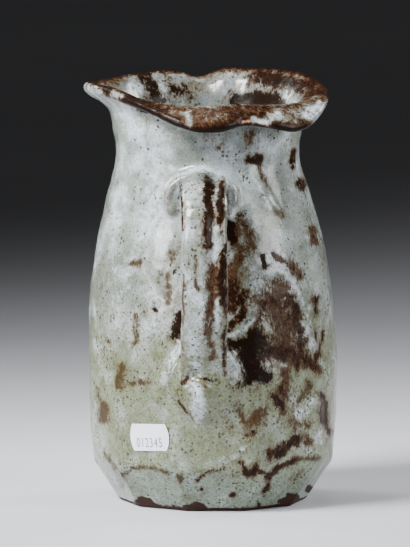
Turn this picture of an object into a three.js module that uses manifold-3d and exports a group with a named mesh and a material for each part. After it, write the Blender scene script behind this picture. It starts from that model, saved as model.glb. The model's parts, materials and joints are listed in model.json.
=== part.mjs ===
// Hand-built stoneware pitcher: coil-built wall courses on a slab floor, a pulled and pinched lip
// in two strips, a strap handle luted to the side, and a small paper sticker.
// Millimetres, +Z up. The origin is the centre of the base. The handle faces -Y, the spout -X.

import * as THREE from "three";
import { mergeVertices } from "three/addons/utils/BufferGeometryUtils.js";
import Module from "manifold-3d";

const wasm = await Module();
wasm.setup();

// Joints between clay pieces
const slipGap = 0.3; // layer of slip between two pieces
const seamBevel = 3; // rise of a seam from the outside of the wall to its inside

// Courses of the wall, from the base up
const floorThickness = 9;
const footRim = 4; // uncut band of the foot course above its bevels
const bellyCourseHeight = 100;
const shoulderCourseHeight = 42;
const neckCourseHeight = 44;
const wallThickness = 6;
const footThickness = 8.5; // the foot stays thicker, because its outside is carved away

// Outside radii of the wall
const footRadius = 67;
const footSeamRadius = 71.8;
const bellyRadius = 73.4;
const shoulderSeamRadius = 70.4;
const neckSeamRadius = 61.6;
const neckWaistRadius = 53.9;
const neckTopRadius = 55.8;
const bellyRise = 44; // height of the fullest belly above the foot seam
const neckWaistRise = 30; // height of the narrowest neck above the neck seam
const neckLean = -3; // the neck stands off the base's axis along X

// Flat bevels carved round the foot
const facetCount = 10;
const facetHeight = 30;
const baseApothem = 52.5; // from the axis to the middle of each straight side of the base
const facetTurn = 2; // degrees that the front bevel is turned to the right

// Lip: its middle line runs from the neck's top to the edge, and is bent in every direction
const lipThickness = 6.4;
const lipOverhang = 9.2; // middle of the edge outside the neck's top, before it is pulled
const lipEdgeHeight = 22; // middle of the edge above the lip seam, before it is tilted and pulled
const lipTilt = 7.6; // the back of the edge stands this much higher, the front lower
const lipRootRise = 16; // how far the lip carries on up before it turns out, at the sides
const lipRootWave = 10; // added to that rise at the front, taken off at the back
const lipCrestRise = 18.5; // level above the lip seam that the edge is pulled up or down from
const lipFlareReach = 13; // outermost length of the lip, which runs from that level to the edge

// How far the edge is pulled outward, lifted or lowered at its places
const spoutTipReach = 7;
const spoutTipDrop = 5;
const spoutSideLift = 12;
const roundLobeReach = 7.5;
const roundLobeLift = 4; // towards the back
const roundDroopReach = 3;
const roundDroopDrop = 12.5;
const frontDroopReach = 7;
const frontDroopDrop = 8.5;
const backNotchReach = 2;
const backNotchDrop = 7;
const frontNotchDepth = 2.5;

// The same places, with their direction and spread in degrees
const lipPulls = [
  { direction: 180, spread: 26, outward: spoutTipReach, upward: -spoutTipDrop },
  { direction: 197, spread: 36, outward: 0, upward: spoutSideLift },
  { direction: 350, spread: 42, outward: roundLobeReach, upward: 0 },
  { direction: 33, spread: 23, outward: 0, upward: roundLobeLift },
  { direction: 319, spread: 23, outward: roundDroopReach, upward: -roundDroopDrop },
  { direction: 268, spread: 21, outward: frontDroopReach, upward: -frontDroopDrop },
  { direction: 94, spread: 9, outward: backNotchReach, upward: -backNotchDrop },
  { direction: 293, spread: 10, outward: -frontNotchDepth, upward: 0 },
];
const lipBackJoint = 84; // direction of the joint between the two lip strips at the back
const lipFrontJoint = 292; // and at the front

// Strap handle
const handleOffset = -5; // the strap's middle plane along X
const strapWidth = 27;
const strapThickness = 12;
const strapSquareness = 0.72; // 1 is an ellipse, less is squarer
const strapGrooveDepth = 1.8; // finger-drawn groove in the outer face
const strapGrooveHalfWidth = 3.5;
const strapGrooveOffset = 5.5; // to the right of the strap's middle plane
const fingerGap = 19; // between the fullest belly and the strap
const upperRootRise = 15; // height of the upper root above the neck seam
const lowerRootRise = 57; // height of the lower root above the foot seam
const archRise = 5; // the strap climbs this much before it turns down
const archReach = 16; // and stands this far off the wall there
const strapShoulderDrop = 11; // below the upper root, where the strap has nearly turned down
const strapShoulderIn = 5; // how far the strap is from its full reach there
const strapKneeRise = 26; // above the lower root, where the strap starts to turn in
const strapKneeIn = 5; // how far the strap is from its full reach there
const strapReachRise = 60; // above the lower root, where the strap stands at its full reach

// Clay worked round the handle's roots
const collarRollRadius = 5.8;
const collarShift = -2.5; // its middle off the strap's middle plane, to the left
const collarHalfWidth = 17;
const collarHalfHeight = 12.5;
const collarDrop = 7.5; // middle of the collar's arch below the upper root
const collarEndAngle = 32; // how far the arch runs below its middle on each side, in degrees
const padHalfWidth = 22;
const padHalfHeight = 22;
const padStandOff = 6.5; // how far the pad stands off the wall
const padDrop = 12; // middle of the pad below the lower root
const tailHalfWidth = 6;
const tailHalfHeight = 15;
const tailStandOff = 9;
const tailDrop = 15; // middle of the tail below the lower root

// Paper sticker
const stickerWidth = 27;
const stickerHeight = 16;
const stickerThickness = 0.4;
const stickerWaist = 2.2; // how far each end is drawn in at its corners
const stickerDirection = -31.5; // degrees from the front, to the left
const stickerRise = 11; // middle of the sticker above the foot seam
const stickerTilt = 3.5; // degrees

// Facets of the round forms
const turnSegments = 50;
const courseSteps = 5;
const lipSteps = 7;
const lipEdgeSteps = 4;
const strapSteps = 22;
const strapSides = 24;
const rollSides = 10;
const rollSteps = 16;
const stickerStepsAcross = 8;
const stickerStepsUp = 4;
const mergeDistance = 1e-4;

const { degToRad, euclideanModulo, lerp, radToDeg } = THREE.MathUtils;

// Heights that follow from the courses
const floorSeam = floorThickness - seamBevel;
const footSeam = facetHeight + footRim;
const shoulderSeam = footSeam + bellyCourseHeight;
const neckSeam = shoulderSeam + shoulderCourseHeight;
const lipSeam = neckSeam + neckCourseHeight;
const bellyHeight = footSeam + bellyRise;
const neckWaistHeight = neckSeam + neckWaistRise;

// Shape of the wall

const wallOutline = new THREE.CubicInterpolant(
  [0, footSeam, bellyHeight, shoulderSeam, neckSeam, neckWaistHeight, lipSeam],
  [
    footRadius,
    footSeamRadius,
    bellyRadius,
    shoulderSeamRadius,
    neckSeamRadius,
    neckWaistRadius,
    neckTopRadius,
  ],
  1,
);

/** Outside radius of the wall at a height. */
function wallRadius(height) {
  return wallOutline.evaluate(height)[0];
}

/** Inside radius of the wall at a height: the carved foot is thicker than the rest. */
function insideRadius(height) {
  if (height >= footSeam + seamBevel) return wallRadius(height) - wallThickness;
  const carved = lerp(baseApothem, wallRadius(facetHeight), height / facetHeight);
  return Math.min(carved - footThickness, wallRadius(height) - wallThickness);
}

/** How far the wall's axis stands off the base's axis at a height. */
function leanAt(height) {
  return (neckLean * Math.max(height - bellyHeight, 0)) / (neckWaistHeight - bellyHeight);
}

/** Depth of the wall's outside in front of the axis, at a place seen from the handle's side. */
function wallFront(x, height) {
  const across = x - leanAt(height);
  return Math.sqrt(wallRadius(height) ** 2 - across ** 2);
}

// Solids and meshes

/** A closed solid of a geometry, for cutting and joining. */
function toSolid(geometry) {
  const bare = geometry.clone();
  bare.deleteAttribute("normal");
  bare.deleteAttribute("uv");
  const merged = mergeVertices(bare, mergeDistance);
  const mesh = new wasm.Mesh({
    numProp: 3,
    vertProperties: merged.attributes.position.array,
    triVerts: new Uint32Array(merged.index.array),
  });
  return new wasm.Manifold(mesh);
}

/** The geometry of a solid that was cut or joined. */
function toGeometry(solid) {
  const mesh = solid.getMesh();
  const geometry = new THREE.BufferGeometry();
  const vertices = new Float32Array(mesh.vertProperties);
  geometry.setAttribute("position", new THREE.BufferAttribute(vertices, 3));
  geometry.setIndex(new THREE.BufferAttribute(new Uint32Array(mesh.triVerts), 1));
  geometry.computeVertexNormals();
  return geometry;
}

/** A form turned about +Z from its half section, which runs anticlockwise in radius and height. */
function turned(section) {
  const points = section.map(([radius, height]) => new THREE.Vector2(radius, height));
  return new THREE.LatheGeometry(points, turnSegments).rotateX(Math.PI / 2);
}

/** Moves every point of a turned form to the place that its direction, radius and height give. */
function handShaped(geometry, place) {
  const position = geometry.attributes.position;
  const point = new THREE.Vector3();
  for (let i = 0; i < position.count; i++) {
    point.fromBufferAttribute(position, i);
    point.copy(place(Math.atan2(point.y, point.x), Math.hypot(point.x, point.y), point.z));
    position.setXYZ(i, point.x, point.y, point.z);
  }
  return geometry;
}

/** The leaning wall's place for a turned point. */
function onLeaningWall(direction, radius, height) {
  const x = radius * Math.cos(direction) + leanAt(height);
  return new THREE.Vector3(x, radius * Math.sin(direction), height);
}

/** Heights from low to high in even steps. */
function levels(low, high) {
  return Array.from({ length: courseSteps + 1 }, (_, i) => lerp(low, high, i / courseSteps));
}

// Wall courses

/** A ring of wall between two seams, with its seam faces bevelled and half a slip gap back. */
function wallCourse(lowSeam, highSeam, highBevel = seamBevel) {
  const low = lowSeam + slipGap / 2;
  const high = highSeam - slipGap / 2;
  const outside = levels(low, high).map((height) => [wallRadius(height), height]);
  const inside = levels(low + seamBevel, high + highBevel)
    .map((height) => [insideRadius(height), height])
    .reverse();
  const section = [...outside, ...inside];
  section.push(section[0]);
  return toSolid(handShaped(turned(section), onLeaningWall));
}

/** The slab floor, whose top steps up inside the foot course. */
function floorSlab() {
  const edge = floorSeam - slipGap / 2;
  const top = edge + seamBevel;
  const section = [
    [0, 0],
    [footRadius, 0],
    [wallRadius(edge), edge],
    [insideRadius(top), top],
    [0, top],
  ];
  return toSolid(turned(section));
}

/** The whole wall as a filled form, grown by a distance, for seating pieces against it. */
function wallCore(growth) {
  const seams = [floorSeam, footSeam, shoulderSeam, neckSeam, lipSeam];
  const heights = seams.slice(1).flatMap((high, i) => levels(seams[i], high));
  const outside = [...new Set(heights)].map((height) => [wallRadius(height) + growth, height]);
  return toSolid(handShaped(turned([[0, floorSeam], ...outside, [0, lipSeam]]), onLeaningWall));
}

/** The blocks of clay that the knife takes off round the foot. */
function facetCuts() {
  const side = 2 * footSeamRadius;
  const slope = Math.atan2(wallRadius(facetHeight) - baseApothem, facetHeight);
  const cuts = [];
  for (let i = 0; i < facetCount; i++) {
    const block = new THREE.BoxGeometry(side, side, side).translate(side / 2, 0, 0);
    block.rotateY(slope).translate(baseApothem, 0, 0);
    block.rotateZ(degToRad(facetTurn - 90 + (360 * i) / facetCount));
    cuts.push(toSolid(block));
  }
  return cuts;
}

/** A piece with the foot's bevels carved into it. */
function carved(solid) {
  return facetCuts().reduce((left, cut) => left.subtract(cut), solid);
}

// Lip

/** Share of a pull, from 0 to 1, that a direction gets. */
function pullShare(direction, pull) {
  const away = euclideanModulo(direction - degToRad(pull.direction) + Math.PI, 2 * Math.PI) - Math.PI;
  return Math.exp(-((away / degToRad(pull.spread)) ** 2));
}

/** The lip's middle line in one direction: radius and height, from the neck to the edge. */
function lipLine(direction) {
  const back = Math.sin(direction);
  let edgeRadius = neckTopRadius + lipOverhang;
  let edgeHeight = lipSeam + lipEdgeHeight + lipTilt * back;
  for (const pull of lipPulls) {
    edgeRadius += pull.outward * pullShare(direction, pull);
    edgeHeight += pull.upward * pullShare(direction, pull);
  }
  const root = new THREE.Vector2(neckTopRadius - wallThickness / 2, lipSeam + slipGap / 2);
  const rise = new THREE.Vector2(root.x, root.y + lipRootRise - lipRootWave * back);
  const crest = new THREE.Vector2(edgeRadius - lipFlareReach, lipSeam + lipCrestRise);
  const edge = new THREE.Vector2(edgeRadius, edgeHeight);
  return new THREE.CubicBezierCurve(root, rise, crest, edge);
}

const lipLength = lipLine(Math.PI).getLength(); // along the spout

/** Place on the bent lip of a point of the flat ring that it is bent from. */
function onBentLip(direction, radius, offset) {
  const along = (radius - neckTopRadius) / lipLength;
  const line = lipLine(direction);
  const middle = line.getPoint(along);
  const tangent = line.getTangent(along);
  const bentRadius = middle.x - tangent.y * offset;
  const height = middle.y + tangent.x * offset;
  return onLeaningWall(direction, bentRadius, height);
}

/** The whole lip, bent up from a flat ring with a round outer edge. */
function lipRing() {
  const half = lipThickness / 2;
  const rim = neckTopRadius + lipLength - half;
  const under = [];
  const over = [];
  for (let i = 0; i < lipSteps; i++) {
    const radius = lerp(neckTopRadius, rim, i / lipSteps);
    const reach = lerp(wallThickness / 2, half, i / lipSteps);
    under.push([radius, -reach]);
    over.unshift([radius, reach]);
  }
  const edge = Array.from({ length: lipEdgeSteps + 1 }, (_, i) => {
    const turn = Math.PI * (i / lipEdgeSteps - 0.5);
    return [rim + half * Math.cos(turn), half * Math.sin(turn)];
  });
  const section = [...under, ...edge, ...over];
  section.push(section[0]);
  return toSolid(handShaped(turned(section), onBentLip));
}

/** One strip of the lip, between two joints given as directions in degrees. */
function lipStrip(fromJoint, toJoint) {
  const jointHalf = radToDeg(slipGap / 2 / neckTopRadius);
  const reach = 2 * (neckTopRadius + lipLength);
  const sector = new THREE.Shape();
  sector.absarc(0, 0, reach, degToRad(fromJoint + jointHalf), degToRad(toJoint - jointHalf));
  sector.lineTo(0, 0);
  const tall = 2 * lipLength;
  const wedge = new THREE.ExtrudeGeometry(sector, { depth: tall, bevelEnabled: false });
  wedge.translate(neckLean, 0, lipSeam - lipLength / 2);
  return lipRing().intersect(toSolid(wedge));
}

// Handle

const upperRootHeight = neckSeam + upperRootRise;
const lowerRootHeight = footSeam + lowerRootRise;

/** Middle line of the strap, from inside the wall at the upper root to inside it at the lower one. */
function strapLine() {
  const reach = bellyRadius + fingerGap + strapThickness / 2;
  const upperWall = wallFront(handleOffset, upperRootHeight);
  const lowerWall = wallFront(handleOffset, lowerRootHeight);
  const places = [
    [upperWall - wallThickness, upperRootHeight],
    [upperWall + archReach, upperRootHeight + archRise],
    [reach - strapShoulderIn, upperRootHeight - strapShoulderDrop],
    [reach, lowerRootHeight + strapReachRise],
    [reach - strapKneeIn, lowerRootHeight + strapKneeRise],
    [lowerWall - wallThickness, lowerRootHeight - strapThickness / 2],
  ];
  return new THREE.CatmullRomCurve3(
    places.map(([depth, height]) => new THREE.Vector3(handleOffset, -depth, height)),
  );
}

/** A cosine or sine drawn out towards a rounded square. */
function squared(share) {
  return Math.sign(share) * Math.abs(share) ** strapSquareness;
}

/** Section of the strap, grown by a distance: x runs to the left, y towards the fingers. */
function strapSection(growth) {
  const points = Array.from({ length: strapSides }, (_, i) => {
    const turn = (2 * Math.PI * i) / strapSides;
    const x = (strapWidth / 2 + growth) * squared(Math.cos(turn));
    const y = (strapThickness / 2 + growth) * squared(Math.sin(turn));
    const fromGroove = (x + strapGrooveOffset) / strapGrooveHalfWidth;
    const groove = y < 0 ? strapGrooveDepth * Math.exp(-(fromGroove ** 2)) : 0;
    return new THREE.Vector2(x, y + groove);
  });
  return new THREE.Shape(points);
}

/** The strap as drawn, before its ends are fitted to the wall. */
function strapBlank(growth) {
  return toSolid(
    new THREE.ExtrudeGeometry(strapSection(growth), {
      steps: strapSteps,
      extrudePath: strapLine(),
    }),
  );
}

/** The roll of clay arched over the strap's upper root, before it is fitted. */
function collarBlank() {
  const middle = upperRootHeight - collarDrop;
  const from = -degToRad(collarEndAngle);
  const places = Array.from({ length: rollSteps + 1 }, (_, i) => {
    const turn = lerp(from, Math.PI - from, i / rollSteps);
    const x = handleOffset + collarShift + collarHalfWidth * Math.cos(turn);
    const height = middle + collarHalfHeight * Math.sin(turn);
    return new THREE.Vector3(x, -wallFront(x, height), height);
  });
  const circle = new THREE.Shape().absarc(0, 0, collarRollRadius, 0, 2 * Math.PI);
  return toSolid(
    new THREE.ExtrudeGeometry(circle, {
      steps: rollSteps,
      curveSegments: rollSides,
      extrudePath: new THREE.CatmullRomCurve3(places),
    }),
  );
}

/** A mound of clay on the wall in the strap's plane, with its half sizes. */
function mound(halfWidth, standOff, halfHeight, height) {
  const sphere = new THREE.SphereGeometry(1, 2 * rollSides, rollSides).rotateX(Math.PI / 2);
  sphere.scale(halfWidth, standOff, halfHeight);
  return toSolid(sphere.translate(handleOffset, -wallFront(handleOffset, height), height));
}

/** The pad pressed round the strap's lower root, with the tail smoothed down from it. */
function padBlank() {
  const pad = mound(padHalfWidth, padStandOff, padHalfHeight, lowerRootHeight - padDrop);
  const tail = mound(tailHalfWidth, tailStandOff, tailHalfHeight, lowerRootHeight - tailDrop);
  return pad.add(tail);
}

/** Seats a root's clay on the wall and round the strap. Offcuts in the crook of the strap fall away. */
function seated(blank) {
  const bodies = blank.subtract(seat).subtract(strapSeat).decompose();
  return bodies.reduce((kept, body) => (body.volume() > kept.volume() ? body : kept));
}

// Sticker

/** Outside radius of the belly course, whose wall runs straight between its levels. */
function bellyCourseRadius(height) {
  const heights = levels(footSeam + slipGap / 2, shoulderSeam - slipGap / 2);
  const above = heights.slice(1, -1).filter((level) => level < height).length;
  const [low, high] = [heights[above], heights[above + 1]];
  return lerp(wallRadius(low), wallRadius(high), (height - low) / (high - low));
}

/** The paper sticker, with drawn-in corners, bent onto the belly course. */
function sticker() {
  const sheet = new THREE.BoxGeometry(
    stickerWidth,
    stickerHeight,
    stickerThickness,
    stickerStepsAcross,
    stickerStepsUp,
  );
  sheet.translate(0, 0, stickerThickness / 2 + slipGap);
  const position = sheet.attributes.position;
  const point = new THREE.Vector3();
  const middleHeight = footSeam + stickerRise;
  for (let i = 0; i < position.count; i++) {
    point.fromBufferAttribute(position, i);
    const upward = Math.abs(point.y) / (stickerHeight / 2);
    point.x *= 1 - (2 * stickerWaist * upward ** 2) / stickerWidth;
    const offset = point.z;
    point.z = 0;
    point.applyAxisAngle(new THREE.Vector3(0, 0, 1), degToRad(stickerTilt));
    const height = middleHeight + point.y;
    const direction = degToRad(stickerDirection - 90) + point.x / wallRadius(middleHeight);
    point.copy(onLeaningWall(direction, bellyCourseRadius(height) + offset, height));
    position.setXYZ(i, point.x, point.y, point.z);
  }
  return toSolid(sheet);
}

// Finishes

const paleGlaze = { color: 0xb9c2b8, roughness: 0.3, metalness: 0 };
const greenGlaze = { color: 0xaab39d, roughness: 0.3, metalness: 0 };
const brownGlaze = { color: 0x4a2f22, roughness: 0.38, metalness: 0 };
const bareClay = { color: 0x3d2a22, roughness: 0.8, metalness: 0 };
const paper = { color: 0xe9eaf2, roughness: 0.75, metalness: 0 };

// Assembly

const pitcher = new THREE.Group();

/** Adds a named piece to the pitcher. */
function addPiece(name, solid, finish) {
  const mesh = new THREE.Mesh(toGeometry(solid), new THREE.MeshStandardMaterial(finish));
  mesh.name = name;
  pitcher.add(mesh);
}

const seat = wallCore(slipGap);
const strapSeat = strapBlank(slipGap);

addPiece("floor_slab", carved(floorSlab()), bareClay);
addPiece("foot_course", carved(wallCourse(floorSeam, footSeam)), greenGlaze);
addPiece("belly_course", wallCourse(footSeam, shoulderSeam), greenGlaze);
addPiece("shoulder_course", wallCourse(shoulderSeam, neckSeam), paleGlaze);
addPiece("neck_collar", wallCourse(neckSeam, lipSeam, 0), paleGlaze);
addPiece("spout_lip", lipStrip(lipBackJoint, lipFrontJoint), brownGlaze);
addPiece("round_lip", lipStrip(lipFrontJoint, lipBackJoint + 360), brownGlaze);
addPiece("handle_strap", strapBlank(0).subtract(seat), paleGlaze);
addPiece("handle_collar", seated(collarBlank()), paleGlaze);
addPiece("handle_pad", seated(padBlank()), greenGlaze);
addPiece("lot_sticker", sticker(), paper);

export default pitcher;
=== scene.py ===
"""Dresses the hand-built stoneware pitcher.

The glaze runs over every joint of the clay, so its skin is modelled whole, painted with the marks that
the firing left, and then cut into the pieces of the frame. Metres, +Z up. The handle faces -Y, the
spout -X.
"""

import json
import logging
import math
from collections.abc import Callable, Iterable, Sequence
from dataclasses import dataclass, field
from enum import Enum

import bmesh
import bpy
import numpy as np
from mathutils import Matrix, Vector

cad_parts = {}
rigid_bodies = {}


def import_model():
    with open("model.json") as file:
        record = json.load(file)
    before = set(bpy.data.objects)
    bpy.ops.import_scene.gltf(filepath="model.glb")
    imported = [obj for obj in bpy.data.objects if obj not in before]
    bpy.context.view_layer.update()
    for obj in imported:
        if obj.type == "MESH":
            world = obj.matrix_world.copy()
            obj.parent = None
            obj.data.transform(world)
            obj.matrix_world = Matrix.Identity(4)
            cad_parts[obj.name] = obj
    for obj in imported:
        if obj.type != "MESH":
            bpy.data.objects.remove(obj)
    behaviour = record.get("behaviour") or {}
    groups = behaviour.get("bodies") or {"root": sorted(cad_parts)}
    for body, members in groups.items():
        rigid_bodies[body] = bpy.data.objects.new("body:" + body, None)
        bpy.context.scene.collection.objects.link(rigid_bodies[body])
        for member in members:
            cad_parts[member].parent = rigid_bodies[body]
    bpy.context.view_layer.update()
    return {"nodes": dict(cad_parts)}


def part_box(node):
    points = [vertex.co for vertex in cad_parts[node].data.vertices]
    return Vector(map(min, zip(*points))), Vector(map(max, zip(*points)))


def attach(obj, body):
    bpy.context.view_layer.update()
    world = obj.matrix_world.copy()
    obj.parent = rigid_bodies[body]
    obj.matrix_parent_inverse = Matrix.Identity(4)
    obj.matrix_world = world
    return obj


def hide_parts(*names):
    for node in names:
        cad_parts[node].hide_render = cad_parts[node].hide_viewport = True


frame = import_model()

Piece = bpy.types.Object
Socket = bpy.types.NodeSocket
Rows = np.ndarray
Pair = tuple[float, float]

MM = 0.001
# keeps a division by nothing from failing
LEAST = 1e-6
LINE_STEPS = 24
BODY = "root"

log = logging.getLogger("pitcher")


class Zone(Enum):
    """Where on the pot a mark lies."""

    FRONT = "all that faces the front"
    WALL = "outside of the wall"
    STRAP = "strap of the handle"
    LIP = "edge of the lip"
    INSIDE = "inside of the neck"


class Mark(Enum):
    """What a mark on the glaze is, with painted highlights and painted shade among them."""

    OCHRE = "iron that only just shows through the glaze"
    RUST = "iron that shows red through thin glaze"
    BROWN = "iron that broke through"
    BLACK = "iron that lies thick"
    # Also painted highlights, where light falls on the glaze.
    MILK_AND_HIGHLIGHT = "glaze that lies thick and white"
    # Mostly painted shade, under the lip, inside the neck and in the collar's groove; also darker olive grey
    # patches of glaze.
    THIN = "glaze that lies thin and lets the clay through"
    BARE = "clay without glaze"
    BLUSH = "torn clay that fired pink"


IRON_TONES = {Mark.OCHRE: -0.15, Mark.RUST: 0.2, Mark.BROWN: 0.6, Mark.BLACK: 1.0}


@dataclass(frozen=True)
class PhotoView:
    """The view of the photograph: places on its frame are pixels from the upper left corner."""

    width: int = 410
    height: int = 547
    pixel: float = 0.591 * MM
    distance: float = 8000 * MM
    elevation: float = math.radians(7.0)
    target: tuple[float, float, float] = (-4.73 * MM, 1.15 * MM, 134.3 * MM)

    def up(self) -> Rows:
        """The direction in the frame that the photograph's columns run along."""
        return np.array((0.0, math.sin(self.elevation), math.cos(self.elevation)))

    def back(self) -> Rows:
        """The direction from the pot to the eye."""
        return np.array((0.0, -math.cos(self.elevation), math.sin(self.elevation)))

    def seen_at(self, places: Rows) -> Rows:
        """Where places on the pot show in the photograph.

        Args:
            places: Points in the frame, one a row.

        Returns:
            Their pixel columns and rows.
        """
        rel = places - np.array(self.target)
        scale = self.distance / (self.distance - rel @ self.back()) / self.pixel
        across = self.width / 2 + rel[:, 0] * scale
        down = self.height / 2 - rel @ self.up() * scale
        return np.stack((across, down), axis=1)


def distance_to_line(places: Rows, line: Sequence) -> Rows:
    """Distance of places from a line of straight runs.

    Args:
        places: Points, one a row.
        line: The line's points. A single one is a line without length.

    Returns:
        One distance for each place.
    """
    nearest = np.full(len(places), np.inf)
    for start, end in zip(line, line[1:] if len(line) > 1 else line):
        run = np.subtract(end, start)
        length = max(float(run @ run), LEAST)
        along = np.clip(((places - start) @ run) / length, 0.0, 1.0)
        nearest = np.minimum(nearest, np.linalg.norm(places - start - along[:, None] * run, axis=1))
    return nearest


@dataclass(frozen=True)
class Stroke:
    """A stroke across the front of the pot, in pixels of the photograph."""

    name: str
    half_width: float
    points: tuple[Pair, ...]

    def distance(self, seen: Rows) -> Rows:
        """Distance of places in the photograph from the stroke, in half widths."""
        return distance_to_line(seen, self.points) / self.half_width


@dataclass(frozen=True)
class GlazeMark(Stroke):
    """A stroke of iron, thick glaze, bare clay, painted highlight or painted shade. Strength 1 covers fully,
    less leaves it broken up.
    """

    mark: Mark = Mark.BROWN
    strength: float = 1.0
    zone: Zone = Zone.WALL


@dataclass(frozen=True)
class Relief(Stroke):
    """A ridge, or a groove where its rise is negative, worked into the clay."""

    rise: float = 0.0
    zone: Zone = Zone.WALL


def marks(mark: Mark, zone: Zone, *rows: tuple) -> tuple[GlazeMark, ...]:
    """Glaze marks of one kind.

    Args:
        mark: What the marks are.
        zone: Where on the pot they lie.
        rows: Name, half width, strength and points of each.

    Returns:
        The marks in order.
    """
    return tuple(
        GlazeMark(name, width, points, mark, strength, zone) for name, width, strength, points in rows
    )


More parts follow.
